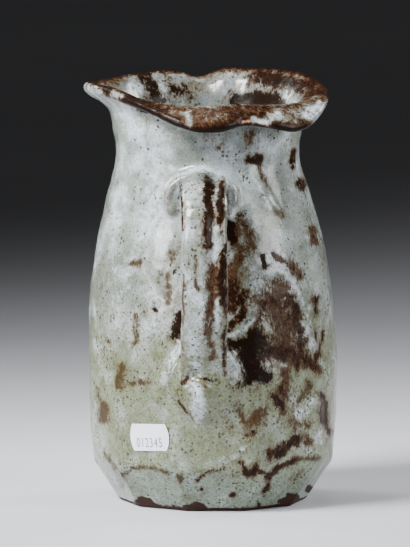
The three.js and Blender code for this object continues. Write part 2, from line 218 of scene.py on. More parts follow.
GLAZE_MARKS = (
    *marks(
        Mark.OCHRE,
        Zone.WALL,
        ("freckle left on the neck", 4.6, 0.5, ((133, 125),)),
        ("freckle under the spout", 4.6, 0.5, ((148, 141),)),
        ("freckle over the handle", 4, 0.42, ((221, 148),)),
        ("freckle high on the left", 4, 0.55, ((131, 263), (138, 262))),
        ("run on the left", 3.2, 0.56, ((135, 315), (138, 325), (135, 342))),
        ("run low on the left", 4.4, 0.7, ((121, 368), (119, 386))),
        ("shelf low on the left", 2.8, 0.58, ((131, 384), (149, 382))),
        ("freckle at the left edge", 5, 0.86, ((103, 406), (105, 418))),
        ("run at the left edge", 2.4, 0.5, ((98, 388), (100, 402))),
        ("run beside the strap", 3.8, 0.52, ((172, 255), (169, 274), (169, 304))),
        ("patch beside the strap", 4.4, 0.64, ((169, 291), (167, 303))),
        ("spots beside the strap", 2.4, 0.7, ((172, 256), (170, 261))),
        ("freckles under the pad", 3.6, 0.56, ((238, 406), (242, 420))),
        ("freckle low in the middle", 3.2, 0.55, ((226, 430), (229, 428))),
        ("left bevel's arch", 2.4, 0.4, ((123, 474), (132, 469), (143, 467), (154, 468), (166, 473))),
        ("left bevel's cusp", 2.2, 0.5, ((104, 453), (112, 464), (124, 486))),
        ("pit beside the left bevel", 3.2, 0.55, ((178, 477), (180, 481))),
        ("mottle on the right bevel", 4, 0.44, ((292, 478), (300, 473))),
        ("end of the right bevel's arch", 2.4, 0.5, ((296, 460), (303, 459), (319, 458))),
    ),
    *marks(
        Mark.OCHRE,
        Zone.STRAP,
        ("lower line down the left side", 1.1, 0.5, ((183.5, 274), (183, 356))),
        ("freckle high on the strap", 3.6, 0.5, ((194, 209),)),
        ("run down the strap", 1.7, 0.56, ((195.5, 256), (195.5, 285), (198, 291))),
    ),
    *marks(
        Mark.RUST,
        Zone.WALL,
        ("top of the great break", 7.5, 0.85, ((281, 283), (284, 290), (276, 299))),
        ("spot in the pale arch", 2.2, 0.8, ((294, 289),)),
        ("middle of the great break", 18, 0.84, ((274, 304), (279, 326), (283, 346))),
        ("tail of the great break", 6, 0.85, ((286, 357), (302, 361), (315, 367))),
        ("run over the pale arch", 4, 0.9, ((279, 259), (290, 265), (300, 277))),
        ("streak down the neck", 3.4, 0.66, ((260, 171), (266, 184), (264, 196), (271, 207), (281, 216))),
        ("upper run beside the handle", 5, 0.72, ((240, 216), (247, 231), (253, 247))),
        ("middle run beside the handle", 7, 0.72, ((240, 250), (236, 262), (234, 276))),
        ("freckle high on the neck", 4.4, 0.6, ((251, 133), (251, 143))),
        ("long freckle at the right edge", 3.6, 0.78, ((312, 230), (314, 243))),
        ("freckles under the break", 6.5, 0.74, ((283, 370), (286, 381), (282, 394))),
        ("freckles low on the right", 5.5, 0.72, ((288, 411), (296, 423), (306, 424))),
        ("slant low on the right", 4, 0.7, ((310, 384), (303, 394), (299, 402))),
        ("patch low on the right", 5.4, 0.8, ((306, 440), (314, 441))),
        ("freckles low in the middle", 6, 0.66, ((263, 413), (250, 424), (262, 420))),
        ("frayed side of the dark run", 4, 0.66, ((238, 229), (237, 246))),
    ),
    *marks(
        Mark.BROWN,
        Zone.WALL,
        ("right side of the great break", 6, 0.92, ((292, 297), (299, 323), (303, 350))),
        ("floor of the great break", 9, 0.95, ((258, 352), (280, 353), (304, 360))),
        ("left slope of the great break", 5.5, 0.8, ((266, 306), (259, 318), (250, 332))),
        ("root of the pale arch", 2.8, 0.9, ((274, 255), (278, 260))),
        ("spot on the neck", 5.2, 0.92, ((252, 160), (258, 159))),
        ("spot at the right of the neck", 3, 0.9, ((293, 152), (293, 161))),
        ("drop at the right of the neck", 2.2, 0.8, ((293, 167),)),
        ("spot at the right shoulder", 3.8, 0.9, ((300, 182), (303, 188))),
        ("lower run beside the handle", 6.5, 0.8, ((233, 281), (231, 310))),
        ("hook beside the handle", 4.2, 0.86, ((244, 293), (240, 315), (230, 331))),
        ("patch at the right edge", 3.4, 0.72, ((315, 300), (316, 312))),
        ("line at the right edge", 3, 0.7, ((314, 326), (319, 346), (315, 365))),
        ("short line at the right edge", 2, 0.66, ((323, 331), (322, 341))),
        ("heart of the lower freckles", 6, 0.82, ((277, 399), (284, 410))),
        ("curtain low on the right", 5, 0.86, ((320, 397), (324, 413), (326, 434))),
        ("diagonal low on the right", 5, 0.9, ((296, 440), (286, 446), (278, 454), (270, 455))),
        ("right bevel's arch", 3, 0.7, ((267, 477), (276, 470), (289, 462), (296, 460))),
        ("right bevel's cusp", 3, 0.78, ((265, 491), (269, 479))),
        ("middle bevel's arch", 2.6, 0.5, ((196, 481), (203, 475), (211, 471), (223, 468))),
        ("end of the middle arch", 4.4, 0.84, ((245, 469), (250, 473), (256, 470))),
        ("tail of the middle arch", 2.2, 0.7, ((256, 470), (265, 474))),
        ("spot over the middle arch", 3.2, 0.9, ((241, 462),)),
        ("spot low in the middle", 4, 0.9, ((249, 437), (253, 434))),
        ("drop at the left edge", 1.8, 0.85, ((108.5, 341),)),
        ("pit on the middle bevel", 2.4, 0.9, ((233, 494),)),
        ("small pit on the middle bevel", 1.8, 0.85, ((202, 490),)),
        ("patch under the collar", 3.6, 0.7, ((240, 217), (243, 224))),
    ),
    *marks(
        Mark.BLACK,
        Zone.WALL,
        ("lower left of the great break", 12.5, 1.05, ((247, 369), (252, 352), (261, 338))),
        ("foot of the great break", 7, 1.0, ((242, 378), (264, 374))),
        ("left prong of the great break", 5.4, 0.96, ((229, 346), (247, 342))),
        ("nick over the pale arch", 2.2, 1.0, ((263, 256), (264, 267))),
        ("foot of the nick", 1.6, 0.9, ((264, 267), (270, 264))),
        ("dark run beside the handle", 4, 1.0, ((225, 222), (231, 224), (229, 234), (234, 241))),
        ("patch left of the handle", 5.4, 1.0, ((180, 316), (177, 340))),
        ("blister's shadow", 2.4, 0.95, ((156, 310),)),
        ("small blister", 2.2, 1.0, ((174.3, 271.5),)),
        ("pit over the small blister", 1.6, 0.95, ((170, 265.5),)),
    ),
    *marks(
        Mark.MILK_AND_HIGHLIGHT,
        Zone.WALL,
        (
            "pale arch",
            5,
            0.6,
            ((262, 275), (272, 270), (286, 273), (297, 286), (304, 304), (309, 324), (312, 345)),
        ),
        ("ridge on the neck", 7, 0.6, ((248, 177), (260, 190), (270, 205))),
        ("tooth over the pale arch", 2, 0.9, ((269, 256), (269, 262))),
        ("pale line into the hook", 2.6, 0.62, ((252, 321), (240, 332), (228, 337))),
        ("drip at the strap's foot", 4.4, 1.0, ((228, 353), (233, 363), (239, 377))),
        # White glaze and a painted highlight on the pad's left flare.
        ("flare of the pad", 6, 0.75, ((182, 345), (172, 360), (163, 380))),
        ("pale fleck in the great break", 5, 0.4, ((264, 324), (272, 338))),
        ("pale drop low on the right", 7, 0.7, ((312, 403), (300, 414))),
        ("pale tongue low on the right", 4.4, 0.7, ((320, 432), (319, 444))),
        ("pale edge over the bevels", 6, 0.5, ((212, 463), (234, 456), (256, 440), (276, 420))),
        ("blister", 2.8, 0.9, ((156.5, 303),)),
        # Painted highlight on the wall under the collar's right end.
        ("painted highlight under the collar", 4, 1.0, ((233, 198), (232, 214))),
        ("tail of the handle", 7, 0.95, ((196, 386), (199, 418))),
        # Painted highlights on the left shoulder and the left of the neck, where the light falls.
        ("painted highlight on the shoulder", 15, 0.68, ((158, 140), (152, 225), (152, 236))),
        ("pale flank", 13, 0.42, ((117, 246), (119, 296))),
        ("painted highlight on the side of the neck", 9, 0.85, ((126, 112), (138, 136))),
    ),
    *marks(
        Mark.BARE,
        Zone.WALL,
        ("bare foot on the left", 4.4, 0.92, ((137, 501), (151, 503))),
        ("thin bare foot on the left", 2.6, 0.6, ((152, 504), (178, 508))),
        ("bare foot in the middle", 3.8, 1.0, ((186, 507), (203, 508))),
        ("bare foot on the right", 5.4, 0.95, ((284, 502), (294, 499))),
        ("bare corner on the right", 3.8, 0.9, ((310, 488),)),
        ("bare chip", 2.8, 0.85, ((258, 505),)),
    ),
    *marks(
        Mark.BROWN,
        Zone.FRONT,
        ("thumb mark under the strap", 2.4, 0.82, ((184, 384), (188, 378), (194, 375))),
        ("right end of the thumb mark", 2.4, 0.8, ((203, 379), (211, 381))),
        ("line inside the collar", 1.0, 0.6, ((186, 173), (196, 170.5), (206, 171), (212, 176))),
        ("line beside the tail", 1.2, 0.68, ((178, 401), (184, 408), (189, 416))),
    ),
    *marks(
        Mark.MILK_AND_HIGHLIGHT,
        Zone.FRONT,
        (
            "band of the collar",
            3.4,
            0.85,
            ((167, 201), (167, 192), (173, 181), (187, 171), (203, 168), (218, 171)),
        ),
        ("right of the collar's band", 3.4, 0.85, ((218, 171), (228, 178), (234, 188), (237, 204))),
        ("foot of the strap", 9, 0.7, ((193, 336), (196, 366))),
    ),
    # Painted shade in the groove between the collar and the strap, and a darker patch at the collar's left
    # foot.
    *marks(
        Mark.THIN,
        Zone.FRONT,
        (
            "groove inside the collar",
            3.6,
            0.85,
            ((172, 201), (175, 191), (182, 183), (192, 177), (204, 175), (216, 178)),
        ),
        ("darkening at the foot of the collar", 5, 0.5, ((170, 207), (176, 212))),
    ),
    *marks(
        Mark.BLACK,
        Zone.STRAP,
        ("top of the ridge's streak", 5.4, 0.96, ((208, 183), (208.5, 199))),
        ("top of the right edge", 3.6, 0.92, ((221, 192), (220, 205))),
    ),
    *marks(
        Mark.BROWN,
        Zone.STRAP,
        ("ridge's streak", 4.8, 0.9, ((209, 199), (210, 219), (208.5, 244))),
        ("right edge", 3.2, 0.84, ((222, 180), (220, 198), (219, 219), (219, 233))),
        ("middle of the right edge", 4, 0.86, ((222, 256), (221, 281), (222, 302))),
        ("line down the right side", 2, 0.57, ((226, 246), (224, 290), (226, 318), (223.5, 345), (225, 374))),
        ("line down the left side", 1.2, 0.58, ((181, 186), (182, 231))),
    ),
    *marks(
        Mark.RUST,
        Zone.STRAP,
        ("middle of the ridge's streak", 4.8, 0.84, ((213, 264), (212, 288), (213, 318))),
        ("foot of the ridge's streak", 3.8, 0.76, ((209, 322), (209.5, 340), (212, 356))),
    ),
    *marks(
        Mark.MILK_AND_HIGHLIGHT,
        Zone.STRAP,
        ("pale run on the strap", 3.4, 0.8, ((216.5, 228), (216, 259))),
        ("lower pale run on the strap", 2.6, 0.66, ((217, 300), (217, 330))),
        # Painted highlight on the strap's crown.
        ("painted highlight on the crown of the strap", 7, 0.5, ((193, 180), (196, 196))),
    ),
    *marks(
        Mark.MILK_AND_HIGHLIGHT,
        Zone.LIP,
        ("tip of the spout", 4.4, 1.0, ((88, 88), (99, 91.5))),
        ("patch beside the tip", 3.4, 0.95, ((114, 93.5), (119, 95))),
        ("patch in the front lip", 4.4, 0.6, ((187, 114), (188, 122))),
        ("cream flecks in the front lip", 5, 0.18, ((164, 109), (180, 114), (206, 119), (232, 117))),
        ("cream beside the tear", 3.4, 1.0, ((254, 120), (266, 122))),
        ("patch past the tear", 5.4, 0.8, ((272, 119), (279, 115))),
        ("cream flecks in the round lip", 6, 0.42, ((284, 119), (300, 112), (318, 96))),
        ("patch on the round lip", 6.6, 1.0, ((309, 114), (320, 109))),
        ("edge of the round lip", 3.4, 0.9, ((316, 121), (324, 112), (327, 103))),
    ),
    *marks(
        Mark.RUST,
        Zone.LIP,
        ("freckles on the front lip", 9, 0.6, ((163, 109), (182, 114), (206, 120))),
        ("freckles on the round lip", 8, 0.56, ((284, 121), (300, 117))),
    ),
    *marks(
        Mark.BLACK,
        Zone.LIP,
        # Dark brown edges with painted shade on the undersides of the lips.
        (
            "dark edge under the front lip",
            2.2,
            0.86,
            ((128, 104), (160, 118), (180, 127), (206, 131), (232, 127)),
        ),
        ("dark edge under the round lip", 2.2, 0.84, ((276, 126), (292, 131), (306, 128))),
        ("dark line behind the spout", 1.6, 0.8, ((100, 88), (126, 97), (150, 106), (170, 110))),
    ),
    *marks(
        Mark.BLUSH,
        Zone.LIP,
        ("tear in the front lip", 1.8, 0.72, ((243, 121.5), (251, 120.5))),
    ),
    *marks(
        Mark.BROWN,
        Zone.INSIDE,
        ("brown wing inside", 8, 0.9, ((256, 75), (279, 80), (300, 86), (312, 84))),
        ("brown rim of the spout", 4.2, 0.7, ((97, 82), (130, 72), (163, 72))),
    ),
    *marks(
        Mark.BLACK,
        Zone.INSIDE,
        # A dark bar painted on the inner back wall, in the colour of thick iron.
        ("dark bar inside", 6.5, 1.1, ((236, 100), (276, 99.5))),
        ("dark heart of the wing", 5, 0.9, ((262, 77), (282, 83), (300, 88))),
        ("mottle inside the spout", 9, 0.8, ((143, 78), (152, 84), (156, 97))),
        ("freckles inside", 8, 0.62, ((166, 82), (184, 94))),
    ),
    *marks(
        Mark.RUST,
        Zone.INSIDE,
        ("streak inside the spout", 4, 0.6, ((104, 84), (128, 80))),
        ("lip of the back notch", 2.4, 0.6, ((200, 77), (211, 77))),
        ("freckles at the back notch", 6, 0.42, ((196, 84), (216, 84))),
    ),
    *marks(
        Mark.MILK_AND_HIGHLIGHT,
        Zone.INSIDE,
        ("pale fleck inside the spout", 5, 0.8, ((131, 84), (141, 91))),
        ("pale fleck past the mottle", 4, 0.7, ((158, 78), (164, 90))),
    ),
    # Painted shade that darkens the inside of the neck.
    *marks(
        Mark.THIN,
        Zone.INSIDE,
        ("painted shade inside", 26, 1.0, ((120, 90), (170, 95), (230, 92), (300, 96))),
    ),
    # Painted shadow under the lip, and darker olive grey patches beside the handle and the ridge, at the
    # right edge, low down and on the bevels.
    *marks(
        Mark.THIN,
        Zone.WALL,
        ("painted shadow under the lip", 15, 0.8, ((196, 148), (246, 148))),
        ("darkening left of the strap", 10, 0.8, ((171, 258), (172, 300))),
        ("darkening beside the ridge", 8, 0.6, ((276, 168), (286, 200))),
        ("darkening right of the handle", 10, 0.5, ((246, 280), (252, 310))),
        ("darkening at the right edge", 9, 0.35, ((322, 250), (326, 330), (328, 420))),
        ("darkening low on the left", 20, 0.55, ((124, 366), (150, 400), (130, 446))),
        ("darkening low in the middle", 24, 0.8, ((222, 400), (216, 440), (250, 420))),
        ("darkening on the bevels", 14, 0.5, ((130, 486), (200, 496), (300, 480))),
    ),
)

RELIEFS = (
    Relief("left flare of the pad", 5.5, ((183, 344), (173, 360), (165, 377), (160, 400)), 1.5 * MM),
    Relief("hollow beside the left flare", 5, ((181, 366), (176, 384)), -0.9 * MM),
    Relief("right flare of the pad", 4.5, ((227, 351), (233, 362), (239, 377)), 1.8 * MM),
    Relief(
        "thumb groove",
        3.4,
        ((183, 385), (188, 378), (196, 374), (205, 377), (211, 381)),
        -1.6 * MM,
        Zone.FRONT,
    ),
    Relief("tail", 6, ((196, 382), (199, 420)), 0.8 * MM, Zone.FRONT),
    Relief(
        "arch of the collar",
        4,
        (
            *((167, 201), (167, 192), (173, 181), (180, 175), (188, 171)),
            *((203, 168), (218, 171), (228, 178), (234, 188), (236, 204)),
        ),
        1.3 * MM,
        Zone.FRONT,
    ),
    Relief(
        "groove inside the arch",
        3.4,
        ((173, 199), (175, 191), (182, 183), (192, 177), (204, 175), (216, 178), (223, 183)),
        -1.2 * MM,
        Zone.FRONT,
    ),
    Relief("ridge on the neck", 7, ((248, 174), (259, 189), (271, 207)), 1.0 * MM),
    Relief("valley beside the ridge", 6, ((266, 172), (272, 188), (280, 206)), -0.8 * MM),
    Relief(
        "pale arch",
        6,
        ((260, 275), (272, 270), (286, 273), (297, 286), (304, 304), (312, 345)),
        0.8 * MM,
    ),
    Relief("hollow of the great break", 18, ((274, 310), (270, 348)), -0.9 * MM),
    Relief("edge over the bevels", 6, ((212, 463), (234, 456), (256, 440), (276, 420)), 0.7 * MM),
    Relief("left bevel's arch", 3, ((123, 474), (132, 469), (143, 467), (154, 468), (166, 473)), 0.6 * MM),
    Relief("middle bevel's arch", 3, ((196, 481), (203, 475), (211, 471), (223, 468)), 0.6 * MM),
    Relief("right bevel's arch", 3, ((267, 477), (276, 470), (289, 462), (303, 459), (319, 458)), 0.7 * MM),
    Relief("fold at the right edge", 3, ((316, 286), (321, 320), (320, 352)), -0.8 * MM),
    Relief("lower fold at the right edge", 3, ((322, 384), (326, 410), (327, 436)), -0.8 * MM),
    Relief("dent under the strap's left edge", 12, ((160, 285), (160, 296)), -0.6 * MM),
    Relief("blister", 2.8, ((156.5, 303),), 1.0 * MM),
    Relief("tear in the front lip", 3.2, ((240, 121), (265, 121)), -1.3 * MM, Zone.LIP),
    Relief("flap over the tear", 2.6, ((240, 114), (262, 114)), 0.8 * MM, Zone.LIP),
)


def leave_edit() -> None:
    """Goes back from edit mode to object mode."""
    bpy.ops.object.mode_set(mode="OBJECT")


def deselect_all() -> None:
    """Leaves edit mode with nothing selected."""
    if bpy.context.mode != "OBJECT":
        leave_edit()
    bpy.ops.object.select_all(action="DESELECT")


def take_up(piece: Piece) -> None:
    """Selects one object alone and makes it the active one.

    Args:
        piece: The object.
    """
    deselect_all()
    piece.select_set(True)
    bpy.context.view_layer.objects.active = piece


def apply_modifier(piece: Piece, name: str, kind: str, **settings: object) -> None:
    """Adds a modifier to a piece and applies it.

    Args:
        piece: The object to change.
        name: Name of the modifier.
        kind: Blender's name of the modifier's type.
        settings: Values of the modifier's own properties.
    """
    take_up(piece)
    modifier = piece.modifiers.new(name, kind)
    for key, value in settings.items():
        setattr(modifier, key, value)
    bpy.ops.object.modifier_apply(modifier=modifier.name)


def edit_whole(piece: Piece) -> None:
    """Opens one object in edit mode with all of it selected.

    Args:
        piece: The object.
    """
    take_up(piece)
    bpy.ops.object.mode_set(mode="EDIT")
    bpy.ops.mesh.select_all(action="SELECT")


def slice_off(point: Vector, beyond: Vector) -> None:
    """Cuts off what lies beyond a plane from the piece in edit mode, and closes the cut."""
    bpy.ops.mesh.bisect(plane_co=point, plane_no=beyond, use_fill=True, clear_outer=True)


def point_rows(items: bpy.types.bpy_prop_collection, key: str) -> Rows:
    """One property of a mesh's items, such as their places, one item a row.

    Args:
        items: The mesh's vertices, normals or faces.
        key: Name of the property.

    Returns:
        Three numbers for each item.
    """
    values = np.empty(len(items) * 3)
    items.foreach_get(key, values)
    return values.reshape(-1, 3)


def vertex_array(mesh: bpy.types.Mesh) -> Rows:
    """Places of a mesh's vertices, one a row."""
    return point_rows(mesh.vertices, "co")


def normal_array(mesh: bpy.types.Mesh) -> Rows:
    """Normals of a mesh's vertices, one a row."""
    return point_rows(mesh.vertex_normals, "vector")


def move_vertices(mesh: bpy.types.Mesh, places: Rows) -> None:
    """Puts a mesh's vertices at new places."""
    mesh.vertices.foreach_set("co", places.ravel())
    mesh.update()


def eased(low: float, high: float, value: Rows) -> Rows:
    """A smooth step from 0 at low to 1 at high."""
    share = np.clip((value - low) / (high - low), 0.0, 1.0)
    return share * share * (3.0 - 2.0 * share)


class RingLoft:
    """A tube that is drawn out ring by ring: a circle is extruded, and each new ring is put in place."""

    def __init__(self, name: str, first: Sequence[Vector]) -> None:
        """Starts the tube.

        Args:
            name: Name of the new object.
            first: Places of the first ring's points, in order round it.
        """
        deselect_all()
        bpy.ops.mesh.primitive_circle_add(vertices=len(first), radius=1.0, fill_type="NOTHING")
        self.piece = bpy.context.active_object
        self.piece.name = name
        self.count = len(first)
        edit_whole(self.piece)
        self._place(first)

    @classmethod
    def through(cls, name: str, rings: Sequence[Sequence[Vector]]) -> Piece:
        """A closed tube through a row of rings.

        Args:
            name: Name of the new object.
            rings: The rings in order, each as the places of its points.

        Returns:
            The closed object.
        """
        loft = cls(name, rings[0])
        for ring in rings[1:]:
            loft.extrude_to(ring)
        return loft.close()

    def _place(self, ring: Sequence[Vector]) -> None:
        """Moves the selected ring's points to their places.

        Args:
            ring: Places of the ring's points, in order round it.
        """
        mesh = bmesh.from_edit_mesh(self.piece.data)
        chosen = (vertex for vertex in mesh.verts if vertex.select)
        for vertex, place in zip(chosen, ring):
            vertex.co = place
        bmesh.update_edit_mesh(self.piece.data)

    def extrude_to(self, ring: Sequence[Vector]) -> None:
        """Extrudes the last ring to new places."""
        bpy.ops.mesh.extrude_region_move()
        self._place(ring)

    def close(self) -> Piece:
        """Fills both ends.

        Returns:
            The closed object, in object mode with its faces pointing out.
        """
        bpy.ops.mesh.edge_face_add()
        bpy.ops.mesh.select_all(action="DESELECT")
        mesh = bmesh.from_edit_mesh(self.piece.data)
        mesh.verts.ensure_lookup_table()
        for vertex in mesh.verts[: self.count]:
            vertex.select_set(True)
        mesh.select_flush(True)
        bmesh.update_edit_mesh(self.piece.data)
        bpy.ops.mesh.edge_face_add()
        bpy.ops.mesh.select_all(action="SELECT")
        bpy.ops.mesh.normals_make_consistent(inside=False)
        leave_edit()
        return self.piece


@dataclass
class Wall:
    """The coil-built wall with its slab floor, carved foot and bent lip."""

    foot_radius: float = 67 * MM
    foot_seam_radius: float = 71.8 * MM
    belly_radius: float = 73.4 * MM
    shoulder_seam_radius: float = 70.4 * MM
    neck_seam_radius: float = 61.6 * MM
    neck_waist_radius: float = 53.9 * MM
    neck_top_radius: float = 55.8 * MM
    foot_seam: float = 34 * MM
    belly_height: float = 78 * MM
    shoulder_seam: float = 134 * MM
    neck_seam: float = 176 * MM
    neck_waist: float = 206 * MM
    lip_seam: float = 220 * MM
    neck_lean: float = -3 * MM
    thickness: float = 6 * MM
    foot_thickness: float = 8.5 * MM
    floor_thickness: float = 9 * MM
    bevel_count: int = 10
    bevel_height: float = 30 * MM
    base_apothem: float = 52.5 * MM
    bevel_turn: float = math.radians(2)
    paddled: float = 0.34
    paddled_fade: Pair = (50 * MM, 165 * MM)
    directions: int = 150
    outside_rings: int = 30
    inside_rings: int = 22

    def radius(self, height: float) -> float:
        """Outside radius at a height: a smooth curve through the radii at the seams.

        Args:
            height: Height over the base.

        Returns:
            The radius, before the side was paddled flat.
        """
        heights, radii = zip(
            (0.0, self.foot_radius),
            (self.foot_seam, self.foot_seam_radius),
            (self.belly_height, self.belly_radius),
            (self.shoulder_seam, self.shoulder_seam_radius),
            (self.neck_seam, self.neck_seam_radius),
            (self.neck_waist, self.neck_waist_radius),
            (self.lip_seam, self.neck_top_radius),
        )
        rises = np.diff(radii) / np.diff(heights)
        slopes = np.concatenate((rises[:1], (rises[1:] + rises[:-1]) / 2, rises[-1:]))
        i = int(np.clip(np.searchsorted(heights, height) - 1, 0, len(rises) - 1))
        span = heights[i + 1] - heights[i]
        t = (height - heights[i]) / span
        return float(
            radii[i] * (1 + 2 * t) * (1 - t) ** 2
            + radii[i + 1] * t * t * (3 - 2 * t)
            + slopes[i] * span * t * (1 - t) ** 2
            - slopes[i + 1] * span * t * t * (1 - t)
        )

    def inside_radius(self, height: float) -> float:
        """Inside radius at a height: the carved foot stays thicker than the rest.

        Args:
            height: Height over the base.

        Returns:
            The radius.
        """
        plain = self.radius(height) - self.thickness
        share = min(height / self.bevel_height, 1.0)
        carved = self.base_apothem + (self.radius(self.bevel_height) - self.base_apothem) * share
        return min(carved - self.foot_thickness, plain) if height < self.foot_seam else plain

    def lean(self, height: float | Rows) -> float | Rows:
        """How far the wall's axis stands off the base's axis along X."""
        share = np.maximum(height - self.belly_height, 0.0) / (self.neck_waist - self.belly_height)
        return self.neck_lean * share

    def front(self, x: float, height: float) -> float:
        """Depth of the wall's outside in front of the axis."""
        return math.sqrt(self.radius(height) ** 2 - (x - float(self.lean(height))) ** 2)

    def place(self, direction: float, radius: float, height: float) -> Vector:
        """A point of the leaning wall."""
        x = radius * math.cos(direction) + float(self.lean(height))
        return Vector((x, radius * math.sin(direction), height))

    def paddle(self, direction: float, height: float) -> float:
        """Share of the radius left where the side was paddled flat above a bevel.

        Args:
            direction: Direction round the axis, in radians.
            height: Height over the base.

        Returns:
            A share of at most 1.
        """
        half = math.pi / self.bevel_count
        off = (direction - self.bevel_turn + math.pi / 2 + half) % (2 * half) - half
        fade = float(1.0 - eased(*self.paddled_fade, np.array(height)))
        return 1.0 - self.paddled * fade * (1.0 - math.cos(half) / math.cos(off))

    def build(self, lip: "Lip") -> Piece:
        """Draws the wall up from its base, out over the lip and down inside to the floor.

        Args:
            lip: The lip that the wall ends in.

        Returns:
            The closed wall, with its foot carved.
        """
        turns = [2 * math.pi * i / self.directions for i in range(self.directions)]

        def outside(height: float) -> list[Vector]:
            """A ring of the outside."""
            return [self.place(a, self.radius(height) * self.paddle(a, height), height) for a in turns]

        rings = [outside(float(height)) for height in np.linspace(0.0, self.lip_seam, self.outside_rings + 1)]
        for along, offset in lip.section():
            rings.append([self.place(a, *lip.bent(a, along, offset)) for a in turns])
        for height in np.linspace(self.lip_seam, self.floor_thickness, self.inside_rings + 1)[1:]:
            radius = self.inside_radius(float(height))
            rings.append([self.place(a, radius, float(height)) for a in turns])
        piece = RingLoft.through("wall", rings)
        self.carve(piece)
        return piece

    def carve(self, piece: Piece) -> None:
        """Cuts the flat bevels round the foot.

        Args:
            piece: The closed wall.
        """
        slope = math.atan2(self.radius(self.bevel_height) - self.base_apothem, self.bevel_height)
        take_up(piece)
        bpy.ops.object.mode_set(mode="EDIT")
        for i in range(self.bevel_count):
            direction = self.bevel_turn - math.pi / 2 + 2 * math.pi * i / self.bevel_count
            out = Vector((math.cos(direction), math.sin(direction), 0.0))
            bpy.ops.mesh.select_all(action="SELECT")
            beyond = out * math.cos(slope) - Vector((0.0, 0.0, math.sin(slope)))
            slice_off(out * self.base_apothem, beyond)
        leave_edit()


@dataclass(frozen=True)
class Pull:
    """A place where the lip's edge was pulled: direction and spread in degrees."""

    direction: float
    spread: float
    outward: float = 0.0
    upward: float = 0.0

    def share(self, direction: Rows) -> Rows:
        """Share of the pull, from 0 to 1, that a direction gets."""
        away = (direction - math.radians(self.direction) + math.pi) % (2 * math.pi) - math.pi
        return np.exp(-((away / math.radians(self.spread)) ** 2))


